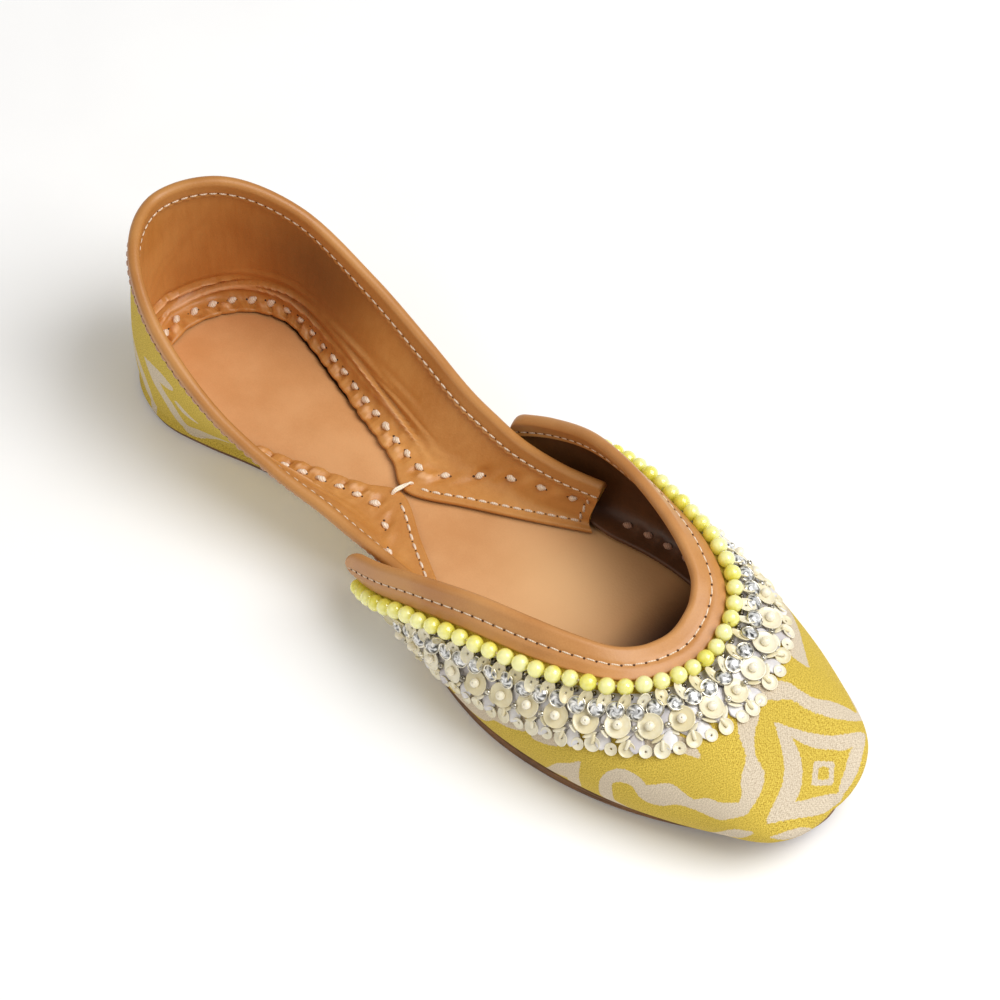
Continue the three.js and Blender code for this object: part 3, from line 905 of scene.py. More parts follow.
def bead_look():
    """Cloudy lemon stone, each bead of its own strength, giving off a little painted light of its own and
    paler where its tint carries painted light
    """
    # Painted light: the beads give off a little light of their colour, though they are no lamp
    painted_glow = {"Emission_Color": colour("bead"), "Emission_Strength": 0.12}
    depth = {"Subsurface_Weight": 1.0, "Subsurface_Radius": (1.0, 0.95, 0.7), "Subsurface_Scale": 0.004}
    polish = {"Coat_Weight": 0.6, "Coat_Roughness": 0.03, "Coat_IOR": 1.8}
    look = Look("lemon_bead", Roughness=0.22, **polish, **depth, **painted_glow)
    clouds = look.noise(look.millimetres(), 0.7, 3.0)
    look.feed("Base Color", look.tinted(clouds, 0.7, "bead", "bead_pale"))
    look.bump(clouds, 0.06, 0.2)
    return look.material


def pearly_look(name, light, deep, roughness=0.3):
    """Pearly moulded sequin or bead, each of its own shade"""
    depth = {"Subsurface_Weight": 0.15, "Subsurface_Radius": (1.0, 0.9, 0.6), "Subsurface_Scale": 0.0008}
    look = Look(name, Roughness=roughness, Coat_Weight=0.5, Coat_Roughness=0.12, **depth)
    swirl = look.noise(look.millimetres(), 0.9, 3.0)
    look.feed("Base Color", look.tinted(swirl, 0.8, deep, light))
    look.bump(swirl, 0.1, 0.25)
    return look.material


def stone_look(name, dark, bright, metal, roughness):
    """Foiled stone or metal bead, brighter and darker from corner to corner as painted reflections, and
    clouded with painted glints
    """
    look = Look(name, Metallic=metal, Roughness=roughness, Coat_Weight=0.6, Coat_Roughness=0.03)
    painted_glint = look.noise(look.millimetres(), 1.6, 2.0)
    look.feed("Base Color", look.tinted(painted_glint, 0.5, dark, bright))
    return look.material


def floor_look():
    """Matt white paper, lit a little from below"""
    look = Look("paper", Roughness=0.95, Emission_Color=colour("floor"), Emission_Strength=0.06)
    tone = look.noise(look.millimetres(), 0.02, 3.0)
    look.feed("Base Color", look.mix(look.span(tone, 0.0, 1.0), "floor", "floor_deep"))
    return look.material


CLOTH_LOOK = cloth_look()
LINING_LOOK = leather_look(
    "lining_leather", "lining", "lining_deep", 0.46, creased=True, painted_pools=LINING_PAINTED_SHADE
)
# Painted shade: the vamp's lining is dark brown leather, for the shadow inside the toe
PAINTED_SHADE_LOOK = leather_look("vamp_lining_painted_shade", "painted_shade_lining", "painted_shade_deep", 0.5, creased=True)
COLLAR_LOOK = leather_look("collar_leather", "collar", "collar_deep", 0.42, grain=1.6)
INSOLE_LOOK = leather_look(
    "insole_leather", "leather", "leather_deep", 0.44, painted_pools=INSOLE_PAINTED_LIGHT, toe_painted_shade=TOE_PAINTED_SHADE
)
BINDING_LOOK = leather_look("binding_leather", "binding", "binding_deep", 0.42, grain=1.6)
SOLE_LOOK = sole_look()
THREAD_LOOK = thread_look("waxed_thread", "thread", "thread_deep")
TIE_LOOK = thread_look("tie_thread", "pearl", "thread")
STRIP_LOOK = thread_look("edge_thread", "edge_thread", "edge_thread_deep")
HOLE_SHADE_LOOK = hole_shade_look()
BEAD_LOOK = bead_look()
SEQUIN_LOOK = pearly_look("ivory_sequin", "sequin", "sequin_deep")
PETAL_LOOK = pearly_look("white_petal", "petal", "petal_deep")
PEARL_LOOK = pearly_look("pearl", "pearl", "sequin", 0.25)
STONE_LOOK = stone_look("foiled_crystal", (0.05, 0.05, 0.045, 1), (0.98, 0.98, 0.97, 1), 0.35, 0.12)
SILVER_LOOK = stone_look("silver_bead", (0.12, 0.1, 0.07, 1), (0.85, 0.8, 0.66, 1), 1.0, 0.25)

# Sole and insole


def slab(inset, rim, stations, strips, swell):
    """Layer inside the sole's outline: rim rows are the inset and height of its edge from the top round to
    the underside, and swell gives the top's extra height from x, y and nearness to the rim"""
    share = np.linspace(0.0004, 0.4996, stations)
    edge, outward = outline_at(share), outward_at(share)
    across = np.linspace(1, -1, strips)
    endwise = np.abs(4 * share - 1) ** 3

    def row(inset_here, height, side):
        point = edge - outward * (inset + inset_here)
        return np.column_stack([point[:, 0], point[:, 1] * side, ground(point[:, 0]) + height])

    rows = [row(*rim[0], place) for place in across]
    for line, place in zip(rows, across):
        line[:, 2] += swell(line[:, 0], line[:, 1], np.maximum(abs(place), endwise))
    rows += [row(*point, -1) for point in rim[1:-1]]
    rows += [row(*rim[-1], place) for place in across[::-1]]
    rows += [row(*point, 1) for point in rim[-2:0:-1]]
    return loft(np.stack(rows, 1))


def make_outsole():
    """Sole of two layers, with a fine groove where they meet"""
    middle = SOLE / 2
    upper = [(1.2, SOLE), (0.45, SOLE - 0.08), (0.1, SOLE - 0.35), (0, SOLE - 0.8), (0, middle + 0.3)]
    lower = [(0.14, middle), (0, middle - 0.3), (0, 0.7), (0.12, 0.28), (0.5, 0.05), (1.3, 0)]
    mesh = slab(0, upper + lower, 220, 17, lambda x, y, near: 0 * x)
    piece("outsole_leather", mesh, SOLE_LOOK, "sole", "outsole", sharp=60)


def dents_at(x, y):
    made = 0 * x
    for middle_x, middle_y, reach_x, reach_y, height in INSOLE_DENTS:
        made += height * hump(x, middle_x, reach_x) * hump(y, middle_y, reach_y)
    return made


def make_insole():
    base = SOLE + GAP
    edge = base + INSOLE * INSOLE_EDGE
    rim = [(0.7, edge), (0.25, edge - 0.12), (0, edge - 0.45), (0, base - GAP), (0.6, base - GAP)]

    def swell(x, y, near):
        return INSOLE * (1 - INSOLE_EDGE) * (1 - near**12) + dents_at(x, y) * (1 - near**3)

    mesh = slab(INSOLE_INSET, rim, 220, 49, swell)
    piece("insole_sock", mesh, INSOLE_LOOK, "lining", "insole", sharp=60)


# Upper


def flat_vamp(place, distance):
    """The vamp's cloth laid flat: each section turned out from the topline at its own angle to it, and
    near the toe's middle kept in the direction it has from above"""
    top = VAMP.points[:, 0]
    level = unit(np.gradient(top[:, :2], axis=0))
    out = np.stack([level[:, 1], -level[:, 0]], -1)
    fall = unit(VAMP.points[:, EVEN_STEPS // 4] - top)
    lean = np.sum(unit(np.gradient(top, axis=0)) * fall, -1)[:, None]
    laid = level * lean + out * np.sqrt(1 - lean**2)
    above = unit(VAMP.points[:, -1, :2] - top[:, :2])
    share = smooth_step(np.abs(VAMP.places), 1.2, 2.6)[:, None]
    heading = unit(above + (laid - above) * share)
    start, heading = (columns_between(place, VAMP.places, part) for part in (top[:, :2], heading))
    return start + heading * distance[..., None]


def along_sole(places):
    """Distance along the quarter's foot from the heel's middle"""
    along = walked(QUARTER.points[:, -1])
    return np.interp(places, QUARTER.places, along - along[len(along) // 2])


def flat_quarter(place, distance):
    """The quarter's cloth laid flat: distance along the sole from the heel, and up from the sole"""
    up = QUARTER.length_at(place) - distance
    return np.stack(np.broadcast_arrays(along_sole(place), up), -1)


def stroke_distance(flat, strokes):
    """Distance of points on flat cloth from the nearest stroke's edge, below zero inside it"""
    nearest = np.full(flat.shape[:-1], np.inf)
    for stroke in strokes:
        line = smooth_line(stroke)
        for start, end in zip(line, line[1:]):
            run = end[:2] - start[:2]
            offset = flat - start[:2]
            share = np.clip(offset @ run / (run @ run), 0, 1)
            gap = np.linalg.norm(offset - share[..., None] * run, axis=-1)
            nearest = np.minimum(nearest, gap - start[2] - share * (end[2] - start[2]))
    return nearest


def vamp_print(flat):
    right = PRINT_MIDDLE - np.abs(flat[:, 1] - PRINT_MIDDLE)
    sides = stroke_distance(np.stack([flat[:, 0], right], -1), SIDE_PRINT)
    return np.minimum(stroke_distance(flat, FRONT_PRINT), sides)


def quarter_print(flat):
    return stroke_distance(np.stack([np.abs(flat[:, 0]), flat[:, 1]], -1), QUARTER_PRINT)


def make_cloth(name, face, flat_at, print_at, places, hidden, skirt):
    """Printed cloth of a wall, from under the binding to the sole, its mesh fine below what hides it"""
    places = places[:, None]
    start = WALL_START + face.corner_at(places)
    reach = face.length_at(places)
    fine_from = np.minimum(hidden, 0.5 * reach)
    upper = start + np.linspace(0, 1, HIDDEN_CLOTH)[:-1] * (fine_from - start)
    lower = fine_from + np.linspace(0, 1, SHOWN_CLOTH) * (reach - fine_from)
    distance = np.hstack([upper, lower])
    outer = face.at(places, distance)
    inner = face.at(places, distance, -CLOTH)
    foot_out = outer[:, -1] - inner[:, -1]
    foot_out[:, 2] = 0
    for side in (outer, inner):
        side[:, -1] += unit(foot_out) * 0.45 * skirt - (0, 0, GAP + skirt)
    flat = flat_at(places, distance)
    flat[:, -1, 1] -= skirt
    flat = np.concatenate([flat, flat[:, ::-1]], 1).reshape(-1, 2)
    values = {"flat": points_of(*flat.T, 0), "print": print_at(flat)}
    piece(name, sheet(outer, inner), CLOTH_LOOK, "cloth", "upper", sharp=50, **values)


def flap_sections(face, places, edge, lift):
    """Inner face of a wall with its margin turned in over the insole: points from the topline to the edge,
    and the margin's directions"""
    lift = np.broadcast_to(lift, places.shape)
    steps = np.linspace(0, 1, EVEN_STEPS) * face.length_at(places)[:, None]
    inner = face.at(places[:, None], steps, -WALL)
    above = inner[..., 2] - foot_height(inner[..., 0]) - lift[:, None] - FLAP
    turning = np.array([np.interp(0, over[::-1], step[::-1]) for over, step in zip(above, steps)])
    bend = face.at(places, turning, -WALL)
    edge = np.column_stack([edge, foot_height(edge[:, 0]) + lift + FLAP])
    margin = edge - bend
    reach = np.linalg.norm(margin, axis=-1)
    fillet = np.minimum(FILLET, 0.75 * np.maximum(reach - FLAP / 2, 0.4))
    start = WALL_START + face.corner_at(places)
    shares = np.linspace(0, 1, LINING_WALL) ** 0.6
    distance = start[:, None] + shares * (turning - fillet - start)[:, None]
    wall = face.at(places[:, None], distance, -WALL)
    heading = (margin / reach[:, None])[:, None]
    begin = bend[:, None] + heading * fillet[:, None, None]
    t = np.linspace(0, 1, LINING_TURN + 1)[1:, None]
    turn = wall[:, -1:] * (1 - t) ** 2 + 2 * bend[:, None] * t * (1 - t) + begin * t**2
    last = edge[:, None] - heading * FLAP / 2
    t = np.linspace(0, 1, LINING_FLAP + 1)[1:, None]
    flap = begin + (last - begin) * t
    return np.concatenate([wall, turn, flap], 1), heading


def make_lining(name, look, places, sections, heading, relief):
    """Leather sheet from its visible sections, rounded at the flap's edge; gives the face it shows"""
    along = np.gradient(sections, axis=0)
    down = np.gradient(sections, axis=1)
    normal = unit(np.cross(down, along))
    inward = np.sign(normal[len(places) // 4, -1, 2])
    normal = normal * inward
    count = sections.shape[1]
    flap_share = np.clip((np.arange(count) - LINING_WALL) / (LINING_TURN + 3), 0, 1)[None, :, None]
    dip = np.clip(relief, -0.6, 0)[..., None] * (1 - flap_share)
    back = sections + normal * (dip - LINING - (FLAP - LINING) * flap_share)
    visible = sections + normal * relief[..., None]
    turn = np.linspace(0, np.pi, 8)[1:-1][:, None]
    top, bottom = visible[:, -1:], back[:, -1:]
    middle, half = (top + bottom) / 2, (top - bottom) / 2
    edge = relief[:, -1:]
    bulge = FLAP / 2 + np.clip(edge[..., None], -0.3, 0.25)
    lip = middle + half * np.cos(turn) + heading * bulge * np.sin(turn)
    mesh = sheet(np.concatenate([visible, lip], 1), back)
    # Painted shade: the lip's underside and the sheet's back take the darkness of a deep crease
    under = edge + (UNDER_EDGE_PAINTED_SHADE - edge) * np.sin(turn[:, 0] / 2) ** 4
    depth = np.concatenate([relief, under, np.full(relief.shape, UNDER_EDGE_PAINTED_SHADE)], 1).ravel()
    piece(name, mesh, look, "lining", "upper", sharp=60, crease=depth)
    return Face(places, visible[:, ::-1], -inward)


def knot_reach(places):
    return columns_at(QUARTER_ROWS, np.asarray(places, float))["knot"]


def knot_places(face):
    """Places of the sewn row's stitches: close round the heel, wider along each wing"""
    heel_end = WAIST_PLACE - WAIST_CLEAR
    heel = face.spaced(knot_reach, HEEL_KNOT_PITCH, -heel_end, heel_end)
    wing = face.spaced(knot_reach, WING_KNOT_PITCH, WAIST_PLACE + WAIST_CLEAR, WING_KNOTS_TO)
    return np.concatenate([-wing[::-1], heel, wing])


def phase_at(places, knots):
    """Places counted in knots along their row"""
    return np.interp(places, knots, np.arange(len(knots)))[:, None]


def quarter_relief(places, sections, knots):
    """Height of the quarter's lining over its plain form: puckers between knots, and creases above them"""
    row = from_edge(sections) - knot_reach(places)[:, None]
    phase = phase_at(places, knots)
    lump = np.abs(np.sin(np.pi * phase)) ** 0.8 * (0.85 + 0.25 * np.sin(2.3 * phase))
    wrinkle = np.sin(6 * np.pi * phase + 1.2 * np.sin(1.7 * phase))
    heel_pucker = 1.75 * hump(row, -2.1, 1.6) * (lump - 0.55)
    heel_pucker += 0.16 * hump(row, -1.5, 2.2) * wrinkle
    heel_pucker += 0.5 * hump(row, 1.8, 1.2) * (0.5 - lump)
    wing_pucker = 1.1 * hump(row, 0, 2.6) * (np.sin(np.pi * phase) ** 2 - 0.65)
    wing = smooth_step(np.abs(places), WAIST_PLACE, WAIST_PLACE + 0.8)[:, None]
    relief = heel_pucker * (1 - wing) + wing_pucker * wing
    along = along_sole(places)[:, None]
    for start, end, up, half, height in CREASES:
        for side in (-1, 1):
            here = window(side * along, start, end, 26) * (0.75 + 0.25 * np.sin(along / 9 + up))
            over = row - up - 0.7 * np.sin(along / 13 + 2 * up)
            relief += height * here * (0.5 * hump(over, 0, half) - 0.4 * hump(over, 1.6 * half, half))
    for start, end, top, half, height in BACK_CREASES:
        lean = start + (end - start) * np.clip(row / top, 0, 1)
        relief -= height * hump(along, lean, half) * window(row, 10, top, 12)
    return relief * smooth_step(walked(sections), 5.5, 8.5)


def make_quarter():
    places = QUARTER.spaced(WALL_STEPS_DOWN, QUARTER_CLOTH_STEP)
    make_cloth("quarter_cloth", QUARTER, flat_quarter, quarter_print, places, QUARTER_HIDDEN, SKIRT)
    places = QUARTER.spaced(WALL_STEPS_DOWN, QUARTER_LINING_STEP)
    row = columns_at(QUARTER_ROWS, places)
    edge = np.column_stack([row["edge_x"], row["edge_w"] * np.where(places < 0, -1, 1)])
    settled = FLAP_SETTLED * (1 - smooth_step(np.abs(places), *FLAP_RISES))
    sections, heading = flap_sections(QUARTER, places, edge, FLAP_LIFT - settled)
    knots = knot_places(Face(places, sections[:, ::-1]))
    relief = quarter_relief(places, sections, knots)
    lining = make_lining("quarter_lining", LINING_LOOK, places, sections, heading, relief)
    sew_quarter(lining, knots)


def make_vamp():
    places = VAMP.spaced(VAMP_CLOTH_STEPS_DOWN, VAMP_CLOTH_STEP)
    make_cloth("vamp_cloth", VAMP, flat_vamp, vamp_print, places, VAMP_HIDDEN, 0.0)
    places = VAMP.spaced(WALL_STEPS_DOWN, VAMP_LINING_STEP)
    row = columns_at(VAMP_ROWS, places)
    outward = outward_at(row["foot_place"])
    flap = VAMP_FLAP * (1 - 0.75 * smooth_step(np.abs(places), *FLAP_NARROWS))
    edge = outline_at(row["foot_place"]) - outward * (row["inset"] + flap)[:, None]
    edge[:, 1] *= np.where(places < 0, -1, 1)
    sections, heading = flap_sections(VAMP, places, edge, FLAP_LIFT + VAMP_FLAP_OVER)
    plain = Face(places, sections[:, ::-1])
    knots = plain.spaced(MARGIN_KNOTS_IN, MARGIN_KNOT_PITCH, -MARGIN_KNOTS_TO, MARGIN_KNOTS_TO)
    pucker = 0.6 * (np.sin(np.pi * phase_at(places, knots)) ** 2 - 0.4)
    relief = pucker * hump(from_edge(sections), MARGIN_KNOTS_IN, 1.8)
    lining = make_lining("vamp_lining", PAINTED_SHADE_LOOK, places, sections, heading, relief)
    frames = lining.frames(knots, MARGIN_KNOTS_IN, KNOT_OUT)
    # The knots inside the toe take the darker edge thread, painted shade of the toe's inside
    piece("vamp_margin_knots", copies(knot(), frames), STRIP_LOOK)


# Sewing


def knot():
    """One thick stitch of two plies, drawn into the leather at both ends"""
    x = np.linspace(-1, 1, 11)[:, None]
    turn = full_turn(12)
    radius = 0.9 * np.sqrt(1 - 0.93 * x**2) * (1 + 0.13 * np.cos(2 * turn - 4 * x))
    height = 0.8 * radius * np.sin(turn) - 0.3 * x**2
    return loft(points_of(1.45 * x, radius * np.cos(turn), height))


def sew(name, frames, size, look):
    """A row of running stitches with a needle hole at the end of each, dark with painted shade"""
    pitch, length, radius, hole = size
    piece(name, copies(stitch(length, radius), frames), look)
    origins, axes = frames
    holes = origins + axes[:, 0] * pitch / 2 + axes[:, 2] * 0.03
    template = lathe(ball(hole, 0.02, 6, 0.4), 10)
    piece(name + "_holes", copies(template, (holes, axes)), HOLE_SHADE_LOOK)


def sew_quarter(lining, knots):
    """Thick stitches along the turned-in margin, fine ones round each wing, and the thread at the waist"""
    count = len(knots)
    on_wing = np.abs(knots) > WAIST_PLACE
    size = np.where(on_wing, 0.96, 1.04) * chance.uniform(0.9, 1.1, count)
    frames = leaning(lining.frames(knots, knot_reach(knots), KNOT_OUT), (2, 0.2, 0.2))
    piece("quarter_knots", copies(knot(), frames, size), THREAD_LOOK)
    # Needle holes at both ends of each knot, dark with painted shade
    template = lathe(ball(0.6, 0.02, 6, 0.35), 12)
    phases = np.arange(count)
    step = np.where(on_wing, 0.17, 0.25)
    ends = np.concatenate([np.interp(phases + side * step, phases, knots) for side in (-1, 1)])
    holes = lining.frames(ends, knot_reach(ends) - 0.2)
    piece("quarter_knot_holes", copies(template, holes, chance.uniform(0.3, 0.7, len(ends))), HOLE_SHADE_LOOK)

    pitch = WING_STITCH[0]
    last = WING_STITCHES_TO
    along = lining.spaced(WING_STITCH_IN, pitch, WAIST_PLACE + 0.15, last, margin=pitch / 2)
    rows = [lining.frames(np.concatenate([-along, along]), WING_STITCH_IN, WING_STITCH_OUT)]
    up = np.arange(WING_STITCH_IN + pitch / 2, lining.length_at(last) - QUARTER_BINDING_INSIDE, pitch)
    for side in (-1, 1):
        origins, axes = lining.frames(np.full(len(up), side * last), up, WING_STITCH_OUT)
        rows.append((origins, np.stack([axes[:, 1], -axes[:, 0], axes[:, 2]], 1)))
    sew("wing_stitches", together(rows), WING_STITCH, THREAD_LOOK)
    make_tie()


def make_tie():
    """Thick two-ply thread that ties both margins together at the waist"""
    across = np.linspace(-1, 1, 40)
    x, y = (middle + reach * across for middle, reach in zip(TIE_MIDDLE, TIE_REACH))
    path = points_of(x, y, foot_height(x) + FLAP_LIFT + FLAP + 0.9 - 1.8 * across**6)
    plies = []
    for start in (0, np.pi):
        turn = start + 1.6 * across
        plies.append(tube(path + points_of(np.cos(turn), 0, np.sin(turn)) * 0.3, 0.36))
    piece("waist_tie", joined(*plies), TIE_LOOK)


# Bindings


def binding_profile(outside, inside):
    """Section of a binding folded over the topline: distances down the wall and offsets from its outer
    face, round its outer skin from inside to outside, and along its underside the same way"""
    crown = WALL / 2 + BINDING
    turn = np.linspace(-np.pi / 2, np.pi / 2, 13)
    inner_leg = np.arange(inside - 0.35, crown, -BINDING_STEP)
    outer_leg = np.arange(outside - 0.35, crown, -BINDING_STEP)[::-1]
    rounding = np.array([(0, 0.1), (0, 0.55 * BINDING), (0.12, 0.85 * BINDING)])
    hem = np.array([0, 0.12, 0.24])

    def run(distances, offset):
        return np.column_stack([distances, np.full(len(distances), offset)])

    def fold(start, depth, half):
        return np.column_stack([start - depth * np.cos(turn), -WALL / 2 + half * np.sin(turn)])

    skin = [
        (inside, -WALL) - rounding,
        run(inner_leg, -WALL - BINDING),
        fold(crown, crown, crown),
        run(outer_leg, BINDING),
        (outside, 0) + rounding[::-1] * (-1, 1),
    ]
    under = [
        run(np.append(inside - hem, inner_leg), -WALL - 0.05),
        fold(1.2, 0.25, WALL / 2 + 0.05),
        run(np.append(outer_leg, outside - hem[::-1]), 0.05),
    ]
    return np.concatenate(skin), np.concatenate(under)


def make_binding(name, look, face, legs, grooves, scallops, node):
    """Leather folded over a topline, pressed in along its stitches and waved along its edges: legs are its
    reach outside and inside, and a groove or scallop first says whether it is outside"""
    skin, under = binding_profile(*legs)
    places = face.spaced(BINDING_STEPS_DOWN, BINDING_PLACE_STEP)[:, None]
    run = walked(face.at(places[:, 0], BINDING_STEPS_DOWN))[:, None]
    distance, offset = (np.repeat(column[None], len(places), 0) for column in skin.T)
    outer_side = offset > -WALL / 2
    for outer, down, pitch, depth in grooves:
        pull = 0.75 + 0.25 * np.cos(2 * np.pi * run / pitch)
        press = depth * (pull * hump(distance, down, 0.55) - 0.35 * hump(distance - down, 1.5, 0.9))
        offset = np.where(outer_side == outer, offset - (press if outer else -press), offset)
    for outer, pitch, depth in scallops:
        reach = legs[0] if outer else legs[1]
        near = np.clip((distance - reach + 1.6) / 1.6, 0, 1) * (outer_side == outer)
        distance = distance + near * depth * np.cos(2 * np.pi * run / pitch)
    beneath = np.minimum(under[None, :, 0], distance + 1.2)
    reach = np.where(outer_side, *legs)
    cut = face.corner_at(places)
    distance, beneath = (rows + cut * np.maximum(1 - rows / reach, 0) for rows in (distance, beneath))
    mesh = sheet(face.at(places, distance, offset), face.at(places, beneath, under[None, :, 1]))
    piece(name, mesh, look, "binding", node, sharp=70)


def sew_line(name, face, down, outer, size, look):
    """Running stitches along a topline, on the outer or inner leg of its binding"""
    places = face.spaced(down, size[0], margin=size[0] / 2)
    skin = BINDING - STITCH_SUNK
    origins, axes = face.frames(places, down, skin if outer else -WALL - skin)
    if not outer:
        axes = axes * np.array([1, -1, -1])[:, None]
    sew(name, (origins, axes), size, look)


def make_bindings():
    pitch = BINDING_STITCH[0]
    legs = (VAMP_BINDING_OUTSIDE, VAMP_BINDING_INSIDE)
    grooves = [(True, VAMP_STITCH_DOWN, pitch, 0.34), (False, VAMP_STITCH_INSIDE, pitch, 0.3)]
    make_binding("vamp_binding_leather", BINDING_LOOK, VAMP, legs, grooves, [], "vamp_binding")
    pitch = COLLAR_STITCH[0]
    legs = (QUARTER_BINDING_OUTSIDE, QUARTER_BINDING_INSIDE)
    grooves = [(True, COLLAR_STITCH_OUTSIDE, pitch, 0.3), (False, COLLAR_STITCH_INSIDE, pitch, 0.34)]
    scallops = [(True, pitch, 0.22), (False, pitch, 0.4)]
    node = "quarter_binding"
    make_binding("quarter_binding_leather", COLLAR_LOOK, QUARTER, legs, grooves, scallops, node)
    sew_line("vamp_stitches", VAMP, VAMP_STITCH_DOWN, True, BINDING_STITCH, THREAD_LOOK)
    sew_line("vamp_inner_stitches", VAMP, VAMP_STITCH_INSIDE, False, BINDING_STITCH, THREAD_LOOK)
    sew_line("collar_stitches", QUARTER, COLLAR_STITCH_INSIDE, False, COLLAR_STITCH, THREAD_LOOK)
    sew_line("collar_outer_stitches", QUARTER, COLLAR_STITCH_OUTSIDE, True, COLLAR_EDGE_STITCH, STRIP_LOOK)


# Beads and trim


def on_vamp(places, down):
    """Places where the wall reaches far enough down to carry a row of the trim"""
    return places[VAMP.length_at(places) - TRIM_ABOVE_FOOT > down]


def strewn(places, down, stray, offset):
    """Frames along a row of the vamp, each strayed a little up or down"""
    return VAMP.frames(places, down + chance.normal(0, stray, len(places)), offset)


def trim(name, template, frames, look, low=0.0, high=1.0, node=None):
    """Copies of one piece of the trim, each of its own tint between low and high"""
    tints = spread(chance.uniform(low, high, len(frames[0])), template)
    piece(name, copies(template, frames), look, "sequins", node, tint=tints)


def make_beads():
    places = VAMP.spaced(BEADS_DOWN, BEAD_PITCH, margin=BEAD_RADIUS)
    count = len(places)
    template = lathe(ball(BEAD_RADIUS, 0.4, 15), 26)
    out = BEAD_RADIUS + 0.1
    middles, axes = strewn(places, BEADS_DOWN, 0.12, out + chance.normal(0, 0.12, count))
    frames = leaning(turned((middles, axes), (1, 2, 0)), (0, 0, 0.12), (1, 0, 0.12))
    mesh = copies(template, frames, chance.uniform(0.97, 1.04, count))
    # Painted light: each bead is paler where it faces out from the vamp and deeper at its rim
    middles, outward = (spread(part, template) for part in (middles, axes[:, 2]))
    painted_light_facing = np.sum(unit(mesh[0] - middles) * outward, -1)
    shade = spread(chance.normal(0.2, 0.16, count), template) + 0.6 * painted_light_facing
    piece("lemon_beads", mesh, BEAD_LOOK, "beads", "bead_strand", tint=shade)
    line = VAMP.spaced(BEADS_DOWN, 1.0)
    piece("bead_thread", tube(VAMP.at(line, BEADS_DOWN, out), 0.3), THREAD_LOOK)


def sequin(radius, hole, cup, thickness=0.28):
    """Profile of a cupped round sequin with a raised rim"""
    under = [(0.55 * radius, 0.1 * cup), (0.85 * radius, 0.6 * cup), (radius, cup)]
    rim = [
        (radius, cup + 0.7 * thickness),
        (0.97 * radius, cup + thickness),
        (0.93 * radius, cup + thickness),
        (0.88 * radius, 0.75 * cup + 0.9 * thickness),
    ]
    dish = [(0.7 * radius, 0.35 * cup + thickness), (0.4 * radius, 0.05 * cup + thickness)]
    return [(hole, 0.0), *under, *rim, *dish, (hole, thickness)]


def crystal():
    """Cut stone: rings of corners from its girdle up to the table, closed underneath"""
    rings = []
    for radius, height, shift, _, _ in CRYSTAL_RINGS:
        around = full_turn(CRYSTAL_SIDES) + shift * np.pi / CRYSTAL_SIDES
        rings.append(points_of(radius * np.cos(around), radius * np.sin(around), height))
    return ring_body(np.array(rings))


def crystal_painted_reflections():
    """Brightness of a stone's corners, light and dark in turn round each ring: painted reflections of its
    facets
    """
    tones = [np.where(np.arange(CRYSTAL_SIDES) % 2, odd, even) for _, _, _, even, odd in CRYSTAL_RINGS]
    return np.concatenate(tones)


def make_crystals():
    """Stones in their cups, oval sequins between them and small seeds above"""
    places = VAMP.spaced(CRYSTALS_DOWN, CRYSTAL_PITCH, margin=CRYSTAL_PITCH / 2)
    stones = on_vamp(places, CRYSTALS_DOWN + 1.5)
    count = len(stones)
    frames = strewn(stones, CRYSTALS_DOWN, 0.3, 0.95)
    frames = tilted(frames, 2, chance.uniform(0, 2, count))
    frames = leaning(frames, (0, 0, 0.15), (1, 0, 0.15))
    template = crystal()
    tones = np.tile(crystal_painted_reflections(), count) + chance.normal(0, 0.2, count * len(template[0]))
    piece("crystals", copies(template, frames), STONE_LOOK, "sequins", sharp=5, tint=tones)
    cup = lathe([(2.0, 0.1), (2.45, 0.15), (2.55, 0.7), (2.4, 1.0), (2.1, 0.95), (2.0, 0.5)], 24)
    trim("crystal_cups", cup, frames, SILVER_LOOK, 0.5, 1.1)

    points, faces = lathe(sequin(OVAL, 0.35, 0.6), 22)
    oval = (points * (OVAL_SLIMNESS, 1.0, 1.0), faces)
    between = on_vamp((places[1:] + places[:-1]) / 2, OVALS_DOWN)
    frames = leaning(strewn(between, OVALS_DOWN, 0.25, 1.5), (1, 0.5, 0.2), (0, 0.15, 0.2))
    trim("oval_sequins", oval, frames, SEQUIN_LOOK)

    above = np.concatenate([stones + 0.035, stones - 0.035])
    frames = leaning(turned(VAMP.frames(above, ZARI_DOWN, 0.9), (1, 2, 0)), (0, 0, 0.5))
    trim("zari_seeds", lathe(ball(ZARI_SEED, 0.25, 8, 0.8), 12), frames, SILVER_LOOK, -0.2, 0.5)


def make_roundels():
    """Cupped sequins with a pearl in each, the drops that hang below them and the petals between"""
    places = VAMP.spaced(ROUNDELS_DOWN, ROUNDEL_PITCH, margin=ROUNDEL_PITCH / 2)
    between = (places[1:] + places[:-1]) / 2
    rounds = on_vamp(places, ROUNDELS_DOWN + 1.2)
    frames = leaning(strewn(rounds, ROUNDELS_DOWN, 0.25, 0.95), (0, -0.05, 0.1), (1, 0, 0.1))
    roundel = lathe(sequin(ROUNDEL, 0.4, 0.42, 0.3), 32)
    trim("roundels", roundel, frames, SEQUIN_LOOK, node="sequin_band")
    origins, axes = frames
    pearls = leaning((origins + axes[:, 2] * 1.1, axes), (0, 0, 0.15))
    trim("pearls", lathe(ball(PEARL, 0.16, 12, 0.95), 20), pearls, PEARL_LOOK)
    make_backing()
    make_crescents(frames)
    make_drops(places, between)
    make_petals(between)


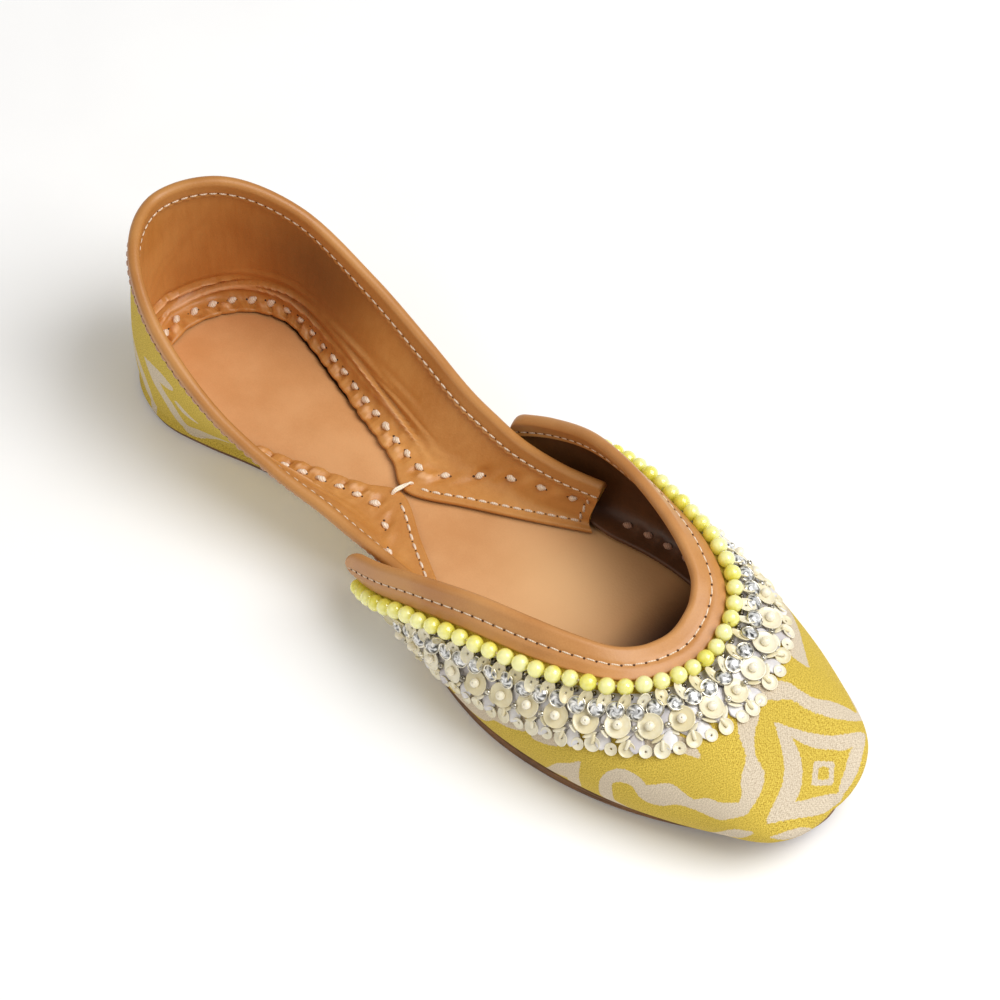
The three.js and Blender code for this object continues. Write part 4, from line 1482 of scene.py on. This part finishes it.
def make_backing():
    """White ribbon under the trim, scalloped between the roundels"""
    places = VAMP.spaced(ROUNDELS_DOWN, BACKING_PLACE_STEP)
    run = walked(VAMP.at(places, ROUNDELS_DOWN))
    end = BACKING_TO - BACKING_SCALLOP * np.cos(2 * np.pi * run / ROUNDEL_PITCH)
    end = np.minimum(end, VAMP.length_at(places) - TRIM_ABOVE_FOOT)
    distance = BACKING_FROM + np.linspace(0, 1, 14) * np.maximum(end - BACKING_FROM, 0.5)[:, None]
    ruffle = 0.3 + 0.12 * np.sin(distance * 2.1 + run[:, None] * 0.9)
    places = places[:, None]
    mesh = sheet(VAMP.at(places, distance, ruffle), VAMP.at(places, distance, 0.05))
    piece("trim_backing", mesh, PETAL_LOOK, "sequins", tint=np.full(len(mesh[0]), 0.3))


def make_crescents(frames):
    """Two ivory leaves that hug the lower edge of each roundel"""
    origins, axes = frames
    rows = []
    for angle in (-2.45, -0.95):
        heading = np.cos(angle) * axes[:, 0] + np.sin(angle) * axes[:, 1]
        side = -np.sin(angle) * axes[:, 0] + np.cos(angle) * axes[:, 1]
        middle = origins + heading * (ROUNDEL + 0.35) - axes[:, 2] * 0.25
        rows.append((middle - side * (CRESCENT / 2), np.stack([side, -heading, axes[:, 2]], 1)))
    trim("crescent_sequins", leaf(CRESCENT, 1.7, 0.24, 0.5), tilted(together(rows), 0, -0.35), SEQUIN_LOOK)


def make_drops(places, between):
    """Sequins along the trim's lower edge, the large ones held by a short straw, and seeds between"""
    large = on_vamp(places, DROPS_DOWN)
    frames = leaning(strewn(large, DROPS_DOWN, 0.3, 0.5), (0, 0.1, 0.15), (1, 0, 0.15))
    trim("drop_sequins", lathe(sequin(DROP, 0.3, 0.45), 28), frames, SEQUIN_LOOK, 0.2)
    straw = spindle([(-1.4, 0.35), (-1.2, 0.5), (1.2, 0.5), (1.4, 0.35)], 10)
    origins, axes = frames
    straws = leaning((origins + axes[:, 1] * 1.3 + axes[:, 2] * 0.7, axes), (2, np.pi / 2, 0.15))
    trim("straw_beads", straw, straws, SEQUIN_LOOK)
    small = on_vamp(between, DROPS_DOWN + 0.6)
    frames = leaning(strewn(small, DROPS_DOWN + 0.5, 0.3, 0.4), (0, 0, 0.15))
    trim("small_sequins", lathe(sequin(SMALL_DROP, 0.3, 0.35), 24), frames, SEQUIN_LOOK, 0.3)
    seeds = on_vamp(between, SEEDS_DOWN)
    frames = leaning(strewn(seeds, SEEDS_DOWN, 0.25, 1.7), (0, 0, 0.5))
    trim("seed_beads", lathe(ball(SEED, 0.25, 9, 0.85), 14), frames, SILVER_LOOK, 0.2)


def make_petals(between):
    """White petals behind the roundels, one pointing up and one down in each space"""
    rows = []
    for below, room, turn in ((1.4, -2, np.pi / 2), (1.6, 4, -np.pi / 2)):
        start = ROUNDELS_DOWN + below
        frames = strewn(on_vamp(between, start + room), start, 0.2, 0.35)
        rows.append(leaning(frames, (2, turn, 0.1)))
    trim("petals", leaf(PETAL, 4.6, 0.3, 0.35), together(rows), PETAL_LOOK)


# Stage


def make_floor():
    half = FLOOR_HALF
    data = bpy.data.meshes.new("floor")
    corners = [(-half, -half, 0), (half, -half, 0), (half, half, 0), (-half, half, 0)]
    data.from_pydata(corners, [], [(0, 1, 2, 3)])
    data.materials.append(floor_look())
    floor = placed("floor", data)


def aim(thing, back, position):
    """Turns a camera or light to look against a direction, level across"""
    right = unit(np.cross((0.0, 0.0, 1.0), back))
    turn = np.stack([right, np.cross(back, right), back], -1)
    thing.matrix_world = Matrix.Translation(position) @ Matrix(turn.tolist()).to_4x4()


def make_camera():
    azimuth, elevation = math.radians(VIEW_AZIMUTH), math.radians(VIEW_ELEVATION)
    level = math.cos(elevation)
    back = np.array([math.sin(azimuth) * level, -math.cos(azimuth) * level, math.sin(elevation)])
    data = bpy.data.cameras.new("view")
    data.lens = VIEW_LENS
    data.sensor_width = VIEW_SENSOR
    camera = placed("view", data)
    aim(camera, back, (np.array(VIEW_TARGET) + VIEW_DISTANCE * back) / 1000)
    bpy.context.scene.camera = camera


def make_lights():
    for name, (direction, distance, size, power, tint) in LIGHTS.items():
        data = bpy.data.lights.new(name, "AREA")
        data.size = size
        data.energy = power
        data.color = tint
        back = unit(np.array(direction, float))
        aim(placed(name, data), back, back * distance)
    world = bpy.data.worlds.new("studio")
    world.use_nodes = True
    sky = world.node_tree.nodes["Background"]
    sky.inputs["Color"].default_value = (1.0, 1.0, 1.0, 1.0)
    sky.inputs["Strength"].default_value = SKY_STRENGTH
    bpy.context.scene.world = world
    bpy.context.scene.view_settings.view_transform = "Standard"


make_outsole()
make_insole()
make_quarter()
make_vamp()
make_bindings()
make_beads()
make_crystals()
make_roundels()
make_floor()
make_camera()
make_lights()
